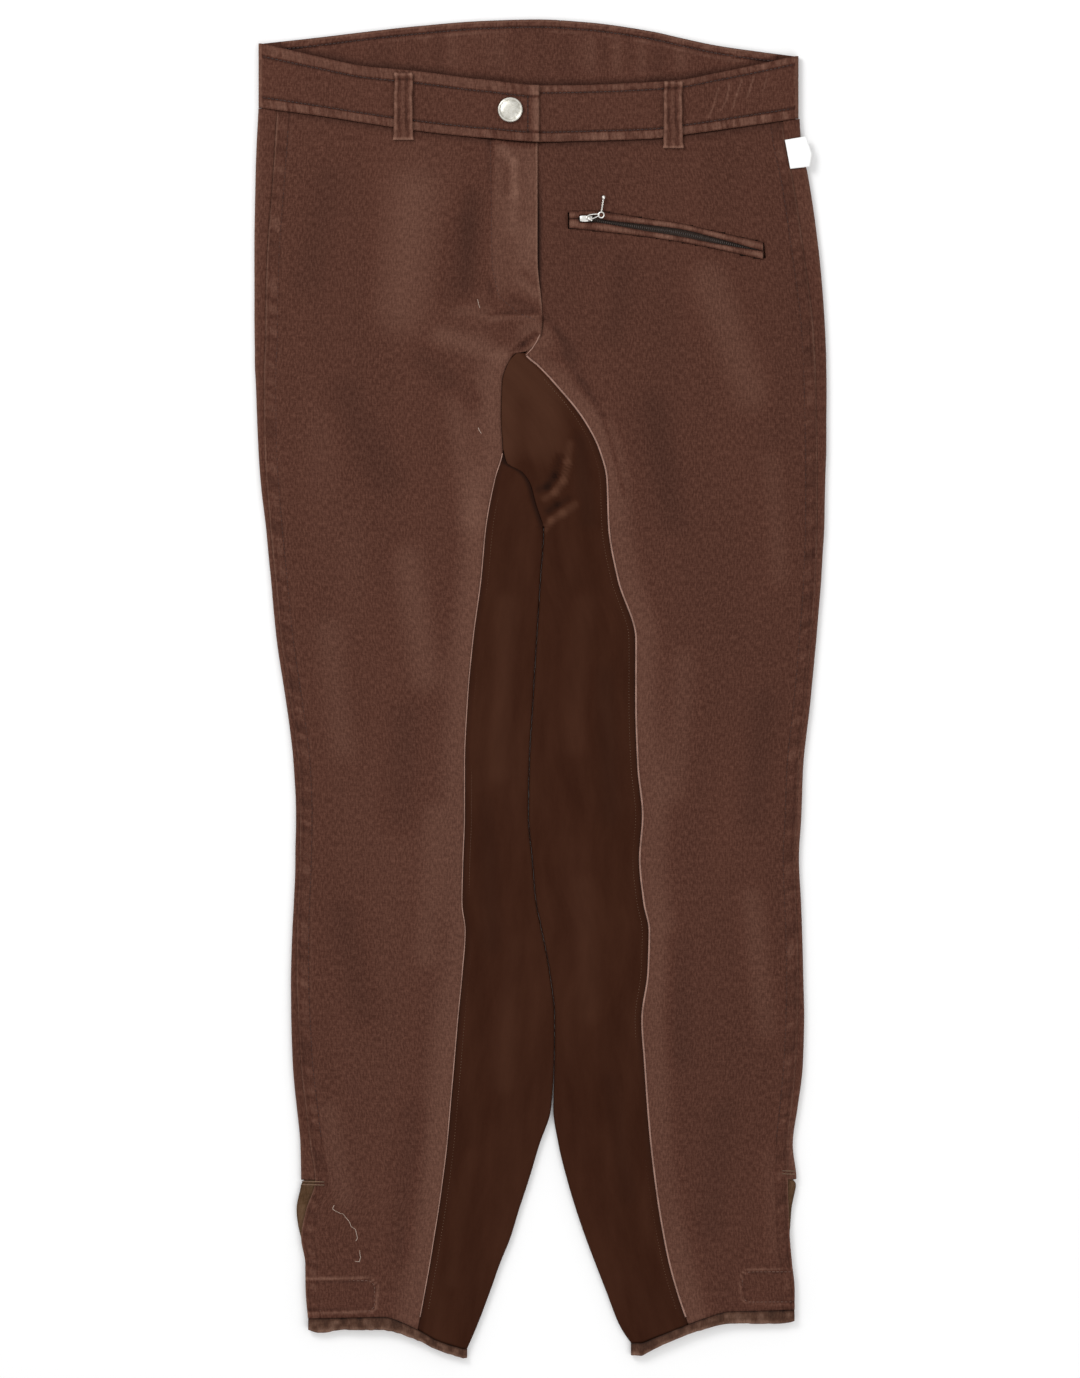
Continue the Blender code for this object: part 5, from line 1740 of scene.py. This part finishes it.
def zip_teeth(finish):
    """The closed coil along the pocket's slot."""
    teeth = []
    for x in np.arange(FIRST_TOOTH, LAST_TOOTH, TOOTH_STEP):
        y = float(pocket_line["slot_top"](x) + pocket_line["slot_bottom"](x)) / 2
        teeth.append([(x, y - 0.85), (x + 0.2, y + 0.85)])
    stitch_row(
        "zip_teeth",
        teeth,
        lambda x, y: top_height(x, y) - CLOTH / 2 - GAP + 0.1,
        finish,
        length=1.8,
        step=1.7,
        radius=0.4,
    )


def stray_threads(finish):
    """Loose threads and bits of lint lying on the right leg."""
    for name, points in STRAYS.items():
        points = np.array(points, float)
        fine = np.linspace(0, len(points) - 1, 4 * len(points))
        xs, ys = (np.interp(fine, np.arange(len(points)), points[:, i]) for i in (0, 1))
        xs, ys = xs + 0.3 * uneven(fine * 3, fine, 1.1, 5), ys + 0.3 * uneven(fine * 3, fine, 1.3, 7)
        heights = front_surface(RIGHT, xs, ys) + 0.12
        thread(name, np.stack([xs, ys, heights], axis=-1), 0.16, finish)


# Floor, lights and camera

CAMERA_HEIGHT = 3.0
SENSOR = 24
PICTURE_HEIGHT = 0.9784
PICTURE_MIDDLE = -0.000355
FLOOR_SIZE = 12
FLOOR_DROP = 0.0004
SURROUND = 0.74

Light = namedtuple("Light", "name place size power")
LIGHTS = (
    Light("key_light", (-1.1, 1.3, 1.5), 0.9, 21.0),
    Light("fill_light", (1.3, -1.2, 2.2), 2.0, 19.0),
)


def stage():
    """The pale floor, two soft lights, an even white surround and the camera straight above."""
    clear_selection()
    bpy.ops.mesh.primitive_plane_add(size=FLOOR_SIZE, location=(0, 0, -FLOOR_DROP))
    floor = take_object()
    floor.name = "floor"
    finish, tree, shader = new_finish("pale_floor", 0.9)
    _, place = coordinates(tree)
    colour = blended(tree, (0.92, 0.92, 0.92), (0.9, 0.9, 0.9), noise(tree, place, 3.0))
    connect(tree, (colour, shader.inputs["Base Color"]))
    floor.data.materials.append(finish)
    for name, place, size, power in LIGHTS:
        bpy.ops.object.light_add(type="AREA", location=place)
        light = take_object()
        light.name = name
        light.data.energy = power
        light.data.size = size
        light.rotation_euler = (-Vector(place)).to_track_quat("-Z", "Y").to_euler()
    world = bpy.data.worlds.new("studio")
    world.use_nodes = True
    world.node_tree.nodes["Background"].inputs["Color"].default_value = (1, 1, 1, 1)
    world.node_tree.nodes["Background"].inputs["Strength"].default_value = SURROUND
    bpy.context.scene.world = world
    bpy.ops.object.camera_add(location=(PICTURE_MIDDLE, 0, CAMERA_HEIGHT), rotation=(0, 0, 0))
    camera = take_object()
    camera.data.sensor_fit = "VERTICAL"
    camera.data.sensor_height = SENSOR
    camera.data.lens = SENSOR * CAMERA_HEIGHT / PICTURE_HEIGHT
    bpy.context.scene.camera = camera
    bpy.context.scene.view_settings.view_transform = "Standard"


def main():
    """Finishes first, then every piece, then the sewing on them."""
    clear_selection()
    weave, patches, nap = weave_group(), patches_group(), nap_group()
    twill = twill_finish("brown_brushed_twill", weave, patches, BROWN)
    binding = twill_finish("brown_fuzzy_binding", weave, patches, BINDING)
    olive = twill_finish("olive_wrong_side", weave, patches, OLIVE)
    tape = twill_finish("dark_woven_tape", weave, patches, TAPE_BROWN)
    suede = suede_finish(nap)
    dark = thread_finish("dark_brown_thread", (0.02, 0.0055, 0.0034), (0.046, 0.014, 0.009))
    pale = thread_finish("pale_brown_thread", (0.1, 0.05, 0.035), (0.2, 0.11, 0.08))
    pinkish = thread_finish("pinkish_piping", (0.2, 0.1, 0.07), (0.36, 0.2, 0.15))
    tan = thread_finish("tan_thread", (0.1, 0.05, 0.026), (0.2, 0.11, 0.06))
    lint = thread_finish("pale_lint", (0.35, 0.26, 0.2), (0.6, 0.48, 0.4))
    coil = thread_finish("grey_brown_coil", (0.03, 0.022, 0.018), (0.06, 0.045, 0.038))
    metal = metal_finish("silvery_plating", (0.86, 0.84, 0.8), (0.62, 0.6, 0.55), 0.3)
    button_metal = metal_finish("satin_silver_button", (0.72, 0.7, 0.64), (0.42, 0.4, 0.34), 0.4)

    for leg in (RIGHT, LEFT):
        front_panel(leg, twill)
        back_panel(leg, twill)
        seat_panel(leg, suede)
        waistband(leg, twill)
        hem_band(leg, binding)
        vent_underlap(leg, olive)
    waist_facing(twill)
    for loop in BELT_LOOPS:
        belt_loop(loop, twill)
    pocket_welt("pocket_welt_upper", "top", "slot_top", twill, 31)
    pocket_welt("pocket_welt_lower", "slot_bottom", "bottom", twill, 35)
    pocket_tape(tape)
    side_label(label_finish())
    button(button_metal)
    zip_slider(metal)
    zip_pull(metal)
    band_sewing(dark)
    leg_sewing(dark, tan)
    fly_and_patch_sewing(dark, pale)
    bar_tacks(tan)
    piping(pinkish)
    zip_teeth(coil)
    stray_threads(lint)
    stage()


main()
